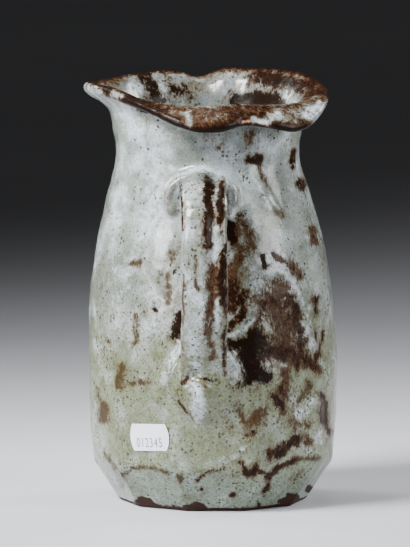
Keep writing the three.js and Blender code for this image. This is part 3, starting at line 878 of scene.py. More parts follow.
@dataclass
class Lip:
    """The bent lip: its middle line runs from the neck's top to the edge, in every direction."""

    wall: Wall
    thickness: float = 6.4 * MM
    overhang: float = 9.2 * MM
    edge_height: float = 22 * MM
    tilt: float = 7.6 * MM
    root_rise: float = 16 * MM
    root_wave: float = 10 * MM
    crest_rise: float = 18.5 * MM
    flare_reach: float = 13 * MM
    back_joint: float = math.radians(84)
    front_joint: float = math.radians(292)
    steps: int = 11
    edge_steps: int = 6
    length_steps: int = 40
    nearest_steps: int = 31
    pulls: tuple[Pull, ...] = (
        Pull(180, 26, 7 * MM, -5 * MM),
        Pull(197, 36, 0, 12 * MM),
        Pull(350, 42, 7.5 * MM, 0),
        Pull(33, 23, 0, 4 * MM),
        Pull(319, 23, 3 * MM, -12.5 * MM),
        Pull(268, 21, 7 * MM, -8.5 * MM),
        Pull(94, 9, 2 * MM, -7 * MM),
        Pull(293, 10, -2.5 * MM, 0),
    )

    def controls(self, direction: Rows) -> Rows:
        """Control points of the middle line.

        Args:
            direction: Directions round the axis, in radians.

        Returns:
            Radius and height of four points for each direction.
        """
        back = np.sin(direction)
        radius = self.wall.neck_top_radius + self.overhang + 0.0 * back
        height = self.wall.lip_seam + self.edge_height + self.tilt * back
        for pull in self.pulls:
            radius = radius + pull.outward * pull.share(direction)
            height = height + pull.upward * pull.share(direction)
        root = self.wall.neck_top_radius - self.wall.thickness / 2 + 0.0 * back
        seam = self.wall.lip_seam + 0.0 * back
        rise = seam + self.root_rise - self.root_wave * back
        crest = seam + self.crest_rise
        points = ((root, seam), (root, rise), (radius - self.flare_reach, crest), (radius, height))
        return np.stack([np.stack(point, axis=-1) for point in points], axis=-2)

    def line(self, direction: Rows, along: float) -> tuple[Rows, Rows]:
        """Point and unit tangent of the middle line.

        Args:
            direction: Directions round the axis, in radians.
            along: Place on the line, 0 at the neck and 1 at the edge.

        Returns:
            Radius and height of the point, and of the tangent, for each direction.
        """
        p = self.controls(direction)
        t, s = along, 1.0 - along
        point = (
            p[..., 0, :] * s**3
            + p[..., 1, :] * 3 * t * s * s
            + p[..., 2, :] * 3 * t * t * s
            + p[..., 3, :] * t**3
        )
        run = (
            (p[..., 1, :] - p[..., 0, :]) * s * s
            + (p[..., 2, :] - p[..., 1, :]) * 2 * t * s
            + (p[..., 3, :] - p[..., 2, :]) * t * t
        )
        return point, run / np.linalg.norm(run, axis=-1, keepdims=True)

    def bent(self, direction: float, along: float, offset: float) -> Pair:
        """Radius and height of a point of the lip, off its middle line towards the upper side."""
        point, tangent = self.line(np.array(direction), along)
        return float(point[0] - tangent[1] * offset), float(point[1] + tangent[0] * offset)

    def section(self) -> list[Pair]:
        """Section of the lip, from the neck under it, round the edge and back over it to the neck.

        Returns:
            Place along the middle line and offset from it, point by point.
        """
        half = self.thickness / 2
        root = self.wall.thickness / 2
        length = self.length()
        rim = 1.0 - half / length
        shares = np.arange(1, self.steps) / self.steps
        sides = [(float(s) * rim, root + (half - root) * float(s)) for s in shares]
        turns = np.linspace(-math.pi / 2, math.pi / 2, self.edge_steps + 1)
        edge = [(rim + half / length * math.cos(a), half * math.sin(a)) for a in turns]
        under = [(along, -reach) for along, reach in sides]
        return under + edge + sides[::-1] + [(0.0, root)]

    def length(self) -> float:
        """Length of the middle line at the spout.

        Returns:
            The length in metres.
        """
        shares = np.linspace(0.0, 1.0, self.length_steps)
        points = np.stack([self.line(np.array(math.pi), t)[0] for t in shares])
        return float(np.linalg.norm(np.diff(points, axis=0), axis=1).sum())

    def nearest(self, places: Rows) -> tuple[Rows, Rows]:
        """Where places on the pot lie on the lip.

        Args:
            places: Points in the frame, one a row.

        Returns:
            For each point, its share along the middle line and its offset towards the upper side.
        """
        x = places[:, 0] - self.wall.lean(places[:, 2])
        direction = np.arctan2(places[:, 1], x)
        here = np.stack((np.hypot(x, places[:, 1]), places[:, 2]), axis=1)
        least = np.full(len(places), np.inf)
        along = np.zeros(len(places))
        offset = np.zeros(len(places))
        for share in np.linspace(0.0, 1.0, self.nearest_steps):
            point, tangent = self.line(direction, float(share))
            gap = here - point
            distance = np.linalg.norm(gap, axis=1)
            closer = distance < least
            least[closer] = distance[closer]
            along[closer] = share
            offset[closer] = (tangent[:, 0] * gap[:, 1] - tangent[:, 1] * gap[:, 0])[closer]
        return along, offset


@dataclass
class Handle:
    """The strap handle with the clay worked round its roots."""

    wall: Wall
    offset: float = -5 * MM
    strap_width: float = 27 * MM
    strap_thickness: float = 12 * MM
    strap_squareness: float = 0.72
    groove_depth: float = 1.9 * MM
    groove_half_width: float = 3.5 * MM
    groove_offset: float = 5.5 * MM
    ridge_rise: float = 0.9 * MM
    ridge_offset: float = -0.5 * MM
    finger_gap: float = 19 * MM
    upper_root: float = 191 * MM
    lower_root: float = 91 * MM
    arch_rise: float = 5 * MM
    arch_reach: float = 16 * MM
    shoulder_drop: float = 11 * MM
    shoulder_in: float = 5 * MM
    reach_rise: float = 60 * MM
    knee_rise: float = 26 * MM
    knee_in: float = 5 * MM
    root_depth: float = 3 * MM
    part_margin: float = 1.0 * MM
    strap_cut: float = 3 * MM
    dome_share: float = 0.26
    dome_width: float = 0.84
    strap_clear: float = 3.6 * MM
    root_thinning: float = 0.45
    root_from: float = 0.86
    root_span: float = 0.14
    wall_levels: int = 60
    strap_rings: int = 34
    strap_sides: int = 40
    collar_roll: float = 5.8 * MM
    collar_tip: float = 3.4 * MM
    collar_swell: float = 0.5
    collar_shift: float = -2.5 * MM
    collar_half_width: float = 17 * MM
    collar_half_height: float = 12.5 * MM
    collar_drop: float = 7.5 * MM
    collar_end: float = math.radians(32)
    collar_rings: int = 26
    collar_sides: int = 18
    pad_half: tuple[float, float, float] = (22 * MM, 5 * MM, 22 * MM)
    pad_drop: float = 12 * MM
    tail_half: tuple[float, float, float] = (6 * MM, 8.5 * MM, 15 * MM)
    tail_drop: float = 15 * MM
    mound_segments: int = 48
    mound_rings: int = 24

    def strap_line(self) -> Rows:
        """Middle line of the strap.

        Returns:
            Depth in front of the axis and height, from the upper root to the lower one.
        """
        reach = self.wall.belly_radius + self.finger_gap + self.strap_thickness / 2
        upper = self.wall.front(self.offset, self.upper_root)
        lower = self.wall.front(self.offset, self.lower_root)
        knots = np.array(
            (
                (upper - self.root_depth, self.upper_root),
                (upper + self.arch_reach, self.upper_root + self.arch_rise),
                (reach - self.shoulder_in, self.upper_root - self.shoulder_drop),
                (reach, self.lower_root + self.reach_rise),
                (reach - self.knee_in, self.lower_root + self.knee_rise),
                (lower, self.lower_root - self.strap_thickness / 2),
            )
        )
        return smooth_line(knots, self.strap_rings)

    def strap_section(self, along: float) -> list[Pair]:
        """Section of the strap at a share of its length.

        Args:
            along: Share of the strap's length, from the upper root.

        Returns:
            Points round the section, each by its step to the right and outward.
        """
        dome = 1.0 - min(along / self.dome_share, 1.0)
        power = self.strap_squareness + (1.0 - self.strap_squareness) * dome
        wide = 1.0 - (1.0 - self.dome_width) * dome * dome
        thin = 1.0 - self.root_thinning * max((along - self.root_from) / self.root_span, 0.0)
        points = []
        for i in range(self.strap_sides):
            turn = 2 * math.pi * i / self.strap_sides
            c, s = math.cos(turn), math.sin(turn)
            across = self.strap_width / 2 * wide * math.copysign(abs(c) ** power, c)
            outward = self.strap_thickness / 2 * thin * math.copysign(abs(s) ** power, s)
            if s > 0:
                groove = math.exp(-(((across - self.groove_offset) / self.groove_half_width) ** 2))
                ridge = math.exp(-(((across - self.ridge_offset) / self.groove_half_width) ** 2))
                outward += self.ridge_rise * ridge - self.groove_depth * groove
            points.append((across, outward))
        return points

    def strap(self) -> Piece:
        """Draws the strap along its middle line.

        Returns:
            The closed strap.
        """
        line = self.strap_line()
        runs = headings(line)
        rings = []
        for i, ((depth, height), (run_out, run_up)) in enumerate(zip(line, runs)):
            section = self.strap_section(i / (len(line) - 1))
            rings.append(
                [
                    Vector((self.offset + across, -(depth - run_up * out), height + run_out * out))
                    for across, out in section
                ]
            )
        return RingLoft.through("strap", rings)

    def collar_line(self) -> Rows:
        """Middle line of the roll of clay that is arched over the upper root, from right to left.

        Returns:
            Points on the outside of the wall, one a row.
        """
        middle = self.upper_root - self.collar_drop
        turns = np.linspace(-self.collar_end, math.pi + self.collar_end, self.collar_rings)
        x = self.offset + self.collar_shift + self.collar_half_width * np.cos(turns)
        height = middle + self.collar_half_height * np.sin(turns)
        depth = [self.wall.front(float(a), float(b)) for a, b in zip(x, height)]
        return np.stack((x, -np.array(depth), height), axis=1)

    def collar(self) -> Piece:
        """Draws the roll, thick in its middle and drawn out to thin ends.

        Returns:
            The closed roll.
        """
        line = self.collar_line()
        runs = headings(line)
        rings = []
        for share, place, run in zip(np.linspace(0.0, 1.0, len(line)), line, runs):
            swell = math.sin(math.pi * share) ** self.collar_swell
            radius = self.collar_tip + (self.collar_roll - self.collar_tip) * swell
            side = np.cross(run, (0.0, 1.0, 0.0))
            side /= np.linalg.norm(side)
            out = np.cross(side, run)
            turns = np.linspace(0.0, 2 * math.pi, self.collar_sides, endpoint=False)
            rings.append([Vector(place + radius * (math.cos(a) * side + math.sin(a) * out)) for a in turns])
        return RingLoft.through("collar", rings)

    def mound_middle(self, drop: float) -> Vector:
        """Middle of a mound of clay on the wall, below the lower root."""
        height = self.lower_root - drop
        return Vector((self.offset, -self.wall.front(self.offset, height), height))

    def mound(self, name: str, half: tuple[float, float, float], drop: float) -> Piece:
        """A mound of clay pressed onto the wall.

        Args:
            name: Name of the new object.
            half: Its half sizes.
            drop: How far its middle lies below the lower root.

        Returns:
            The mound, cut off flat inside the wall so that it doesn't reach into the pot.
        """
        deselect_all()
        bpy.ops.mesh.primitive_uv_sphere_add(
            segments=self.mound_segments, ring_count=self.mound_rings, radius=1.0
        )
        piece = bpy.context.active_object
        piece.name = name
        middle = self.mound_middle(drop)
        edit_whole(piece)
        bpy.ops.transform.resize(value=half)
        bpy.ops.transform.translate(value=middle)
        inward = Vector((0.0, 1.0, 0.0))
        slice_off(middle + inward * self.root_depth, inward)
        leave_edit()
        return piece

    def build(self) -> list[Piece]:
        """Makes the strap, the collar over its upper root, and the pad and tail round its lower root.

        Returns:
            The pieces of clay, each closed.
        """
        return [
            self.strap(),
            self.collar(),
            self.mound("pad", self.pad_half, self.pad_drop),
            self.mound("tail", self.tail_half, self.tail_drop),
        ]

    def on_strap(self, places: Rows, margin: float) -> Rows:
        """Which places lie on the strap, away from the clay round its roots.

        Args:
            places: Points in the frame, one a row.
            margin: How far outside the strap's own section a place may lie.

        Returns:
            True for each place on the strap.
        """
        here = np.stack((-places[:, 1], places[:, 2]), axis=1)
        least = distance_to_line(here, self.strap_line())
        across = np.abs(places[:, 0] - self.offset)
        clear = -places[:, 1] - self.wall_front(places)
        near = (least < self.strap_thickness / 2 + 2 * margin) & (across < self.strap_width / 2 + margin)
        return near & (clear > self.strap_clear)

    def wall_front(self, places: Rows) -> Rows:
        """Depth of the plain wall in front of the axis at each place.

        Args:
            places: Points in the frame, one a row.

        Returns:
            One depth for each place.
        """
        levels = np.linspace(0.0, self.wall.lip_seam, self.wall_levels)
        radii = np.interp(places[:, 2], levels, [self.wall.radius(float(level)) for level in levels])
        across = places[:, 0] - self.wall.lean(places[:, 2])
        return np.sqrt(np.maximum(radii**2 - across**2, 0.0))

    def strap_part(self, places: Rows) -> Rows:
        """Which places belong to the strap, cut level above the pad."""
        return self.on_strap(places, self.part_margin) & (places[:, 2] > self.lower_root + self.strap_cut)

    def collar_part(self, places: Rows) -> Rows:
        """Which places belong to the collar, with the stump of the strap inside it.

        Args:
            places: Points in the frame, one a row.

        Returns:
            True for each place on the collar.
        """
        middle = self.upper_root - self.collar_drop
        reach = self.collar_roll + self.part_margin
        half = (self.collar_half_width + reach, self.collar_half_height + reach)
        foot = middle - self.collar_half_height * math.sin(self.collar_end) - self.collar_tip
        return self._in_patch(places, (self.offset + self.collar_shift, middle), half) & (places[:, 2] > foot)

    def pad_part(self, places: Rows) -> Rows:
        """Which places belong to the pad, with the stump of the strap in front of it."""
        return self.round_pad(places, self.part_margin)

    def round_pad(self, places: Rows, margin: float) -> Rows:
        """Which places lie on the pad or within a margin round it."""
        half = (self.pad_half[0] + margin, self.pad_half[2] + margin)
        return self._in_patch(places, (self.offset, self.lower_root - self.pad_drop), half)

    def _in_patch(
        self, places: Rows, middle: Pair, half: Pair
    ) -> Rows:
        """Which places on the outside lie in an ellipse, as seen from the front.

        Args:
            places: Points in the frame, one a row.
            middle: Across and height of the ellipse's middle.
            half: Its half width and half height.

        Returns:
            True for each place in it.
        """
        across = (places[:, 0] - middle[0]) / half[0]
        height = (places[:, 2] - middle[1]) / half[1]
        outside = (places[:, 1] < 0.0) & (-places[:, 1] - self.wall_front(places) > -self.wall.thickness / 3)
        return (across**2 + height**2 < 1.0) & outside


def headings(line: Rows) -> Rows:
    """Direction of a line at each of its points, of length 1."""
    runs = np.gradient(line, axis=0)
    return runs / np.linalg.norm(runs, axis=1, keepdims=True)


def smooth_line(knots: Rows, count: int) -> Rows:
    """Evenly spaced points on a smooth line through its knots.

    Args:
        knots: Points that the line runs through, one a row.
        count: How many points to give.

    Returns:
        The points, one a row.
    """
    padded = np.vstack((2 * knots[0] - knots[1], knots, 2 * knots[-1] - knots[-2]))
    fine = []
    for a, b, c, d in zip(padded, padded[1:], padded[2:], padded[3:]):
        square = 2 * a - 5 * b + 4 * c - d
        cube = 3 * b - a - 3 * c + d
        for t in np.linspace(0.0, 1.0, LINE_STEPS, endpoint=False):
            fine.append(0.5 * (2 * b + (c - a) * t + square * t**2 + cube * t**3))
    fine = np.array([*fine, knots[-1]])
    lengths = np.concatenate(((0.0,), np.cumsum(np.linalg.norm(np.diff(fine, axis=0), axis=1))))
    wanted = np.linspace(0.0, lengths[-1], count)
    return np.stack([np.interp(wanted, lengths, fine[:, i]) for i in range(fine.shape[1])], axis=1)


@dataclass
class Skin:
    """The pot's skin: all the clay worked into one, uneven from the hand, with its glaze marks."""

    wall: Wall
    lip: Lip
    handle: Handle
    view: PhotoView = field(default_factory=PhotoView)
    voxel: float = 1.15 * MM
    wipe: float = 0.5
    weight_steps: int = 20
    smoothing: int = 5
    root_smoothing: int = 60
    root_margin: float = 9 * MM
    relief_smoothing: int = 3
    pool_smoothing: int = 20
    pool_depth: float = 0.45 * MM
    dents: tuple[tuple[str, float, float], ...] = (
        ("paddle marks", 36 * MM, 1.9 * MM),
        ("finger marks", 14 * MM, 0.9 * MM),
        ("thick and thin glaze", 5 * MM, 0.35 * MM),
    )
    flat_base: float = 2.5 * MM
    least_facing: float = -0.1
    lip_from: float = 0.3
    rim_from: float = 0.7
    lip_depth: float = 25 * MM
    strap_margin: float = 0.6 * MM
    inside_most: float = 0.2
    inside_front: float = -10 * MM
    mark_edge: float = 0.55
    ragged: float = 0.25
    ragged_most: float = 1.3
    shake_across: tuple[float, float, float, float] = (4.3, 1.7, 9.1, 2.3)
    shake_down: tuple[float, float, float, float] = (3.9, 1.9, 7.7, 2.6)
    shake_fine: float = 0.6
    milk_and_highlight_gain: float = 1.3
    milk_and_highlight_wipe: float = 0.9
    bare_foot: Pair = (1.0 * MM, 3.2 * MM)
    back_shift: Pair = (18.0, -34.0)
    lip_over_front: Pair = (0.36, 0.72)
    lip_over_back: Pair = (0.80, 0.98)
    lip_under: Pair = (0.80, 1.0)
    lip_iron: float = 0.86
    lip_tone: float = 0.42
    lip_tone_weight: float = 0.3
    lip_turn: Pair = (-10 * MM, 30 * MM)

    def build(self) -> Piece:
        """Joins the clay, works it over and paints its marks.

        Returns:
            One closed object.
        """
        clay = [self.wall.build(self.lip), *self.handle.build()]
        take_up(clay[0])
        for piece in clay[1:]:
            piece.select_set(True)
        bpy.ops.object.join()
        skin = bpy.context.active_object
        apply_modifier(skin, "worked together", "REMESH", mode="VOXEL", voxel_size=self.voxel)
        self._wipe(skin, "wiped", self.smoothing)
        self._smooth_roots(skin)
        self._dent(skin)
        self._work(skin)
        self._paint(skin)
        return skin

    def _wipe(self, piece: Piece, name: str, times: int, **settings: object) -> None:
        """Wipes a surface smooth."""
        apply_modifier(piece, name, "SMOOTH", factor=self.wipe, iterations=times, **settings)

    def _group(self, skin: Piece, name: str, weights: Rows) -> str:
        """Makes a vertex group with a weight for each vertex.

        Args:
            skin: The skin.
            name: Name of the group.
            weights: A weight from 0 to 1 for each vertex.

        Returns:
            The group's name.
        """
        group = skin.vertex_groups.new(name=name)
        steps = np.round(weights * self.weight_steps).astype(int)
        for step in range(1, self.weight_steps + 1):
            group.add(np.flatnonzero(steps == step).tolist(), step / self.weight_steps, "REPLACE")
        return name

    def _smooth_roots(self, skin: Piece) -> None:
        """Wipes the clay round the handle's roots into the wall.

        Args:
            skin: The skin.
        """
        places = vertex_array(skin.data)
        rooted = self.handle.round_pad(places, self.root_margin) & ~self.handle.on_strap(places, 0.0)
        group = self._group(skin, "roots", rooted.astype(float))
        self._wipe(skin, "roots wiped", self.root_smoothing, vertex_group=group)

    def _dent(self, skin: Piece) -> None:
        """Makes the surface uneven, but leaves the base flat.

        Args:
            skin: The skin.
        """
        heights = vertex_array(skin.data)[:, 2]
        group = self._group(skin, "above the base", eased(self.flat_base, 4 * self.flat_base, heights))
        for name, size, strength in self.dents:
            texture = bpy.data.textures.new(name, "CLOUDS")
            texture.noise_scale = size
            texture.noise_depth = 2
            settings = {"texture": texture, "texture_coords": "LOCAL", "mid_level": 0.5}
            apply_modifier(skin, name, "DISPLACE", strength=strength, vertex_group=group, **settings)

    def _zones(self, places: Rows, normals: Rows) -> dict[Zone, Rows]:
        """Which vertices each zone has.

        Args:
            places: Points of the skin, one a row.
            normals: Their normals.

        Returns:
            A mask for each zone.
        """
        x = places[:, 0] - self.wall.lean(places[:, 2])
        radius = np.hypot(x, places[:, 1])
        outward = (normals[:, 0] * x + normals[:, 1] * places[:, 1]) / np.maximum(radius, LEAST)
        facing = normals @ self.view.back() > self.least_facing
        along, _ = self.lip.nearest(places)
        lip = (places[:, 2] > self.wall.lip_seam) & (places[:, 1] < self.lip_depth)
        lip &= (along > self.lip_from) & facing
        strap = self.handle.on_strap(places, self.strap_margin) & facing
        inside = (places[:, 2] > self.wall.neck_seam) & (places[:, 1] > self.inside_front)
        inside &= (outward < self.inside_most) & facing
        wall = (outward > 0.0) & ~strap & ~(lip & (along > self.rim_from))
        return {
            Zone.FRONT: (wall | strap) & facing,
            Zone.WALL: wall,
            Zone.STRAP: strap,
            Zone.LIP: lip & ~inside,
            Zone.INSIDE: inside,
        }

    def _work(self, skin: Piece) -> None:
        """Raises the ridges and presses the grooves.

        Args:
            skin: The skin.
        """
        places = vertex_array(skin.data)
        normals = normal_array(skin.data)
        zones = self._zones(places, normals)
        seen = self.view.seen_at(places)
        front = normals @ self.view.back() > 0.0
        for relief in RELIEFS:
            share = np.exp(-(relief.distance(seen) ** 2)) * (zones[relief.zone] & front)
            places += normals * (relief.rise * share)[:, None]
        move_vertices(skin.data, places)
        self._wipe(skin, "reliefs wiped", self.relief_smoothing)

    def _proud(self, skin: Piece) -> Rows:
        """How far each vertex stands proud of the form around it: the glaze runs thin there.

        Args:
            skin: The worked skin.

        Returns:
            A share from -1, a hollow where the glaze pools, to 1, a sharp edge.
        """
        take_up(skin)
        bpy.ops.object.duplicate()
        wiped = bpy.context.active_object
        self._wipe(wiped, "form around", self.pool_smoothing)
        gap = vertex_array(skin.data) - vertex_array(wiped.data)
        bpy.data.objects.remove(wiped)
        rise = np.einsum("ij,ij->i", gap, normal_array(skin.data))
        return np.clip(rise / self.pool_depth, -1.0, 1.0)

    def _shaken(self, seen: Rows) -> Rows:
        """Steps to and fro, in pixels, that keep a mark's edge from looking ruled.

        Args:
            seen: Pixel columns and rows, one place a row.

        Returns:
            A step across and a step down for each place.
        """
        x, y = seen[:, 0], seen[:, 1]
        steps = []
        for (wave, bend, bend_wave, fine), here, other, slant in (
            (self.shake_across, y, x, x + y),
            (self.shake_down, x, y, x - y),
        ):
            slow = np.sin(here / wave + bend * np.sin(other / bend_wave))
            steps.append(slow + self.shake_fine * np.sin(slant / fine))
        return np.stack(steps, axis=1)

    def _paint(self, skin: Piece) -> None:
        """Writes how much iron, thick glaze, painted highlight, painted shade and bare clay shows at each
        vertex.

        Args:
            skin: The skin.
        """
        places = vertex_array(skin.data)
        normals = normal_array(skin.data)
        zones = self._zones(places, normals)
        front = normals @ self.view.back() > 0.0
        seen = self.view.seen_at(places)
        behind = self.view.seen_at(places * (-1.0, -1.0, 1.0)) + self.back_shift
        shake = self._shaken(seen)
        iron = self._lip_iron(places)
        tone_weight = self.lip_tone_weight * iron
        tone_sum = tone_weight * self.lip_tone
        covers = {kind: np.zeros(len(places)) for kind in Mark if kind not in IRON_TONES}
        for mark in GLAZE_MARKS:
            on_back = mark.zone is Zone.WALL
            where = np.where(front[:, None], seen, behind) if on_back else seen
            where = where + shake * min(self.ragged * mark.half_width, self.ragged_most)
            reach = np.exp(-self.mark_edge * mark.distance(where) ** 2) * mark.strength
            reach *= zones[mark.zone] & (front | on_back)
            if mark.mark in IRON_TONES:
                iron = np.maximum(iron, reach)
                tone_sum += reach**2 * IRON_TONES[mark.mark]
                tone_weight += reach**2
            else:
                covers[mark.mark] = np.maximum(covers[mark.mark], reach)
        # Thick white glaze and painted highlights hide the iron under them.
        iron *= 1.0 - self.milk_and_highlight_wipe * np.minimum(self.milk_and_highlight_gain * covers[Mark.MILK_AND_HIGHLIGHT], 1.0)
        foot = 1.0 - eased(*self.bare_foot, places[:, 2])
        fields = {
            "iron": iron,
            "tone": tone_sum / np.maximum(tone_weight, LEAST),
            # milk holds thick white glaze and painted highlights; thin holds painted shade and darker olive
            # grey glaze.
            "milk": covers[Mark.MILK_AND_HIGHLIGHT],
            "thin": covers[Mark.THIN],
            "bare": np.maximum(covers[Mark.BARE], foot),
            "blush": covers[Mark.BLUSH],
            "proud": self._proud(skin),
        }
        for name, values in fields.items():
            attribute = skin.data.attributes.new(name, "FLOAT", "POINT")
            attribute.data.foreach_set("value", values.astype(np.float32))

    def _lip_iron(self, places: Rows) -> Rows:
        """Iron that breaks through where the glaze ran off the lip: wide on the front, narrow on the back.

        Args:
            places: Points in the frame, one a row.

        Returns:
            A share of iron for each place.
        """
        along, offset = self.lip.nearest(places)
        above = places[:, 2] > self.wall.lip_seam
        back = eased(*self.lip_turn, places[:, 1])
        over = (1.0 - back) * eased(*self.lip_over_front, along) + back * eased(*self.lip_over_back, along)
        under = eased(*self.lip_under, along)
        return np.where(offset > 0.0, over, under) * above * self.lip_iron


@dataclass
class PieceCutter:
    """Cuts the skin into the pieces of the frame, each closed. The forms say where its joints are."""

    skin: Piece
    wall: Wall
    lip: Lip
    handle: Handle

    def cut(self) -> dict[str, Piece]:
        """Cuts every piece.

        Returns:
            The pieces by the name of the CAD node that they stand for.
        """
        pieces = {}
        sunk = Vector((0.0, self.wall.thickness / 2, 0.0))
        for node, chosen, depth in (
            ("handle_strap", self.handle.strap_part, None),
            ("handle_collar", self.handle.collar_part, sunk),
            ("handle_pad", self.handle.pad_part, sunk),
        ):
            pieces[node] = self._take_faces(node, chosen, True, depth)
        courses = ("floor_slab", "foot_course", "belly_course", "shoulder_course", "neck_collar")
        seams = [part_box(node)[0].z for node in courses[1:]] + [self.wall.lip_seam]
        for node, top in zip(courses, seams):
            pieces[node] = self._take_below(node, top)
        for joint in (self.lip.back_joint, self.lip.front_joint):
            self._score(joint)
        pieces["spout_lip"] = self._take_faces("spout_lip", self._on_spout_lip, False, None)
        pieces["round_lip"] = self.skin
        return pieces

    def _score(self, direction: float) -> None:
        """Cuts a line through the lip in the upright plane of an end joint.

        Args:
            direction: Direction of the joint round the axis, in radians.
        """
        edit_whole(self.skin)
        bpy.ops.mesh.bisect(
            plane_co=(self.wall.lean(self.wall.lip_seam), 0.0, 0.0),
            plane_no=(-math.sin(direction), math.cos(direction), 0.0),
        )
        leave_edit()

    def _on_spout_lip(self, middles: Rows) -> Rows:
        """Which places lie on the lip strip with the spout.

        Args:
            middles: Middles of the skin's faces, one a row.

        Returns:
            True for each face on the strip.
        """
        across = middles[:, 0] - self.wall.lean(self.wall.lip_seam)
        direction = np.arctan2(middles[:, 1], across) % (2 * math.pi)
        return (direction > self.lip.back_joint) & (direction < self.lip.front_joint)

    def _take_faces(
        self, name: str, chosen: Callable[[Rows], Rows], even: bool, sunk: Vector | None
    ) -> Piece:
        """Parts the faces that a rule chooses from the skin and closes both.

        Args:
            name: Name of the new piece.
            chosen: Rule that says for each face's middle if it belongs to the piece.
            even: Evens out the edge of the chosen patch first.
            sunk: How far the faces that close the cut lie below it.

        Returns:
            The new piece.
        """
        take_up(self.skin)
        self._select_largest(chosen(point_rows(self.skin.data.polygons, "center")))
        bpy.ops.object.mode_set(mode="EDIT")
        bpy.ops.mesh.select_mode(type="FACE")
        if even:
            bpy.ops.mesh.select_more()
            bpy.ops.mesh.select_less()
        bpy.ops.mesh.separate(type="SELECTED")
        leave_edit()
        piece = next(o for o in bpy.context.selected_objects if o is not self.skin)
        piece.name = name
        for part in (self.skin, piece):
            self._close(part, sunk)
        return piece

    def _select_largest(self, chosen: Rows) -> None:
        """Selects the largest connected patch of the chosen faces, so that no crumbs are left.

        Args:
            chosen: True for each face of the skin that is chosen.
        """
        mesh = bmesh.new()
        mesh.from_mesh(self.skin.data)
        mesh.faces.ensure_lookup_table()
        left = set(np.flatnonzero(chosen).tolist())
        largest: set[int] = set()
        while left:
            patch = {left.pop()}
            border = list(patch)
            while border:
                face = mesh.faces[border.pop()]
                for edge in face.edges:
                    for other in edge.link_faces:
                        if other.index in left:
                            left.discard(other.index)
                            patch.add(other.index)
                            border.append(other.index)
            largest = max(largest, patch, key=len)
        mesh.free()
        mask = np.zeros(len(chosen), bool)
        mask[list(largest)] = True
        for kind in (self.skin.data.vertices, self.skin.data.edges):
            kind.foreach_set("select", np.zeros(len(kind), bool))
        self.skin.data.polygons.foreach_set("select", mask)

    def _close(self, part: Piece, sunk: Vector | None) -> None:
        """Fills the holes that a cut left, with their floors sunk into the clay.

        Args:
            part: The object to close.
            sunk: How far the floors lie below the cut, if at all.
        """
        take_up(part)
        bpy.ops.object.mode_set(mode="EDIT")
        self._select_open_edges()
        if sunk:
            bpy.ops.mesh.extrude_region_move(TRANSFORM_OT_translate={"value": sunk})
        bpy.ops.mesh.fill_holes(sides=0)
        leave_edit()

    def _take_below(self, name: str, top: float) -> Piece:
        """Parts what lies below a level seam from the skin.

        Args:
            name: Name of the new piece.
            top: Height of the seam.

        Returns:
            The new piece.
        """
        take_up(self.skin)
        bpy.ops.object.duplicate()
        piece = bpy.context.active_object
        piece.name = name
        for part, lower in ((piece, True), (self.skin, False)):
            edit_whole(part)
            bpy.ops.mesh.bisect(
                plane_co=(0.0, 0.0, top), plane_no=(0.0, 0.0, 1.0), clear_outer=lower, clear_inner=not lower
            )
            self._select_open_edges()
            bpy.ops.mesh.fill(use_beauty=False)
            bpy.ops.mesh.select_all(action="SELECT")
            bpy.ops.mesh.normals_make_consistent(inside=False)
            leave_edit()
        return piece

    def _select_open_edges(self) -> None:
        """Selects the edges of the holes in the piece that is being edited."""
        bpy.ops.mesh.select_mode(type="EDGE")
        bpy.ops.mesh.select_all(action="DESELECT")
        bpy.ops.mesh.select_non_manifold(
            extend=False, use_wire=False, use_boundary=True, use_multi_face=False, use_non_contiguous=False
        )


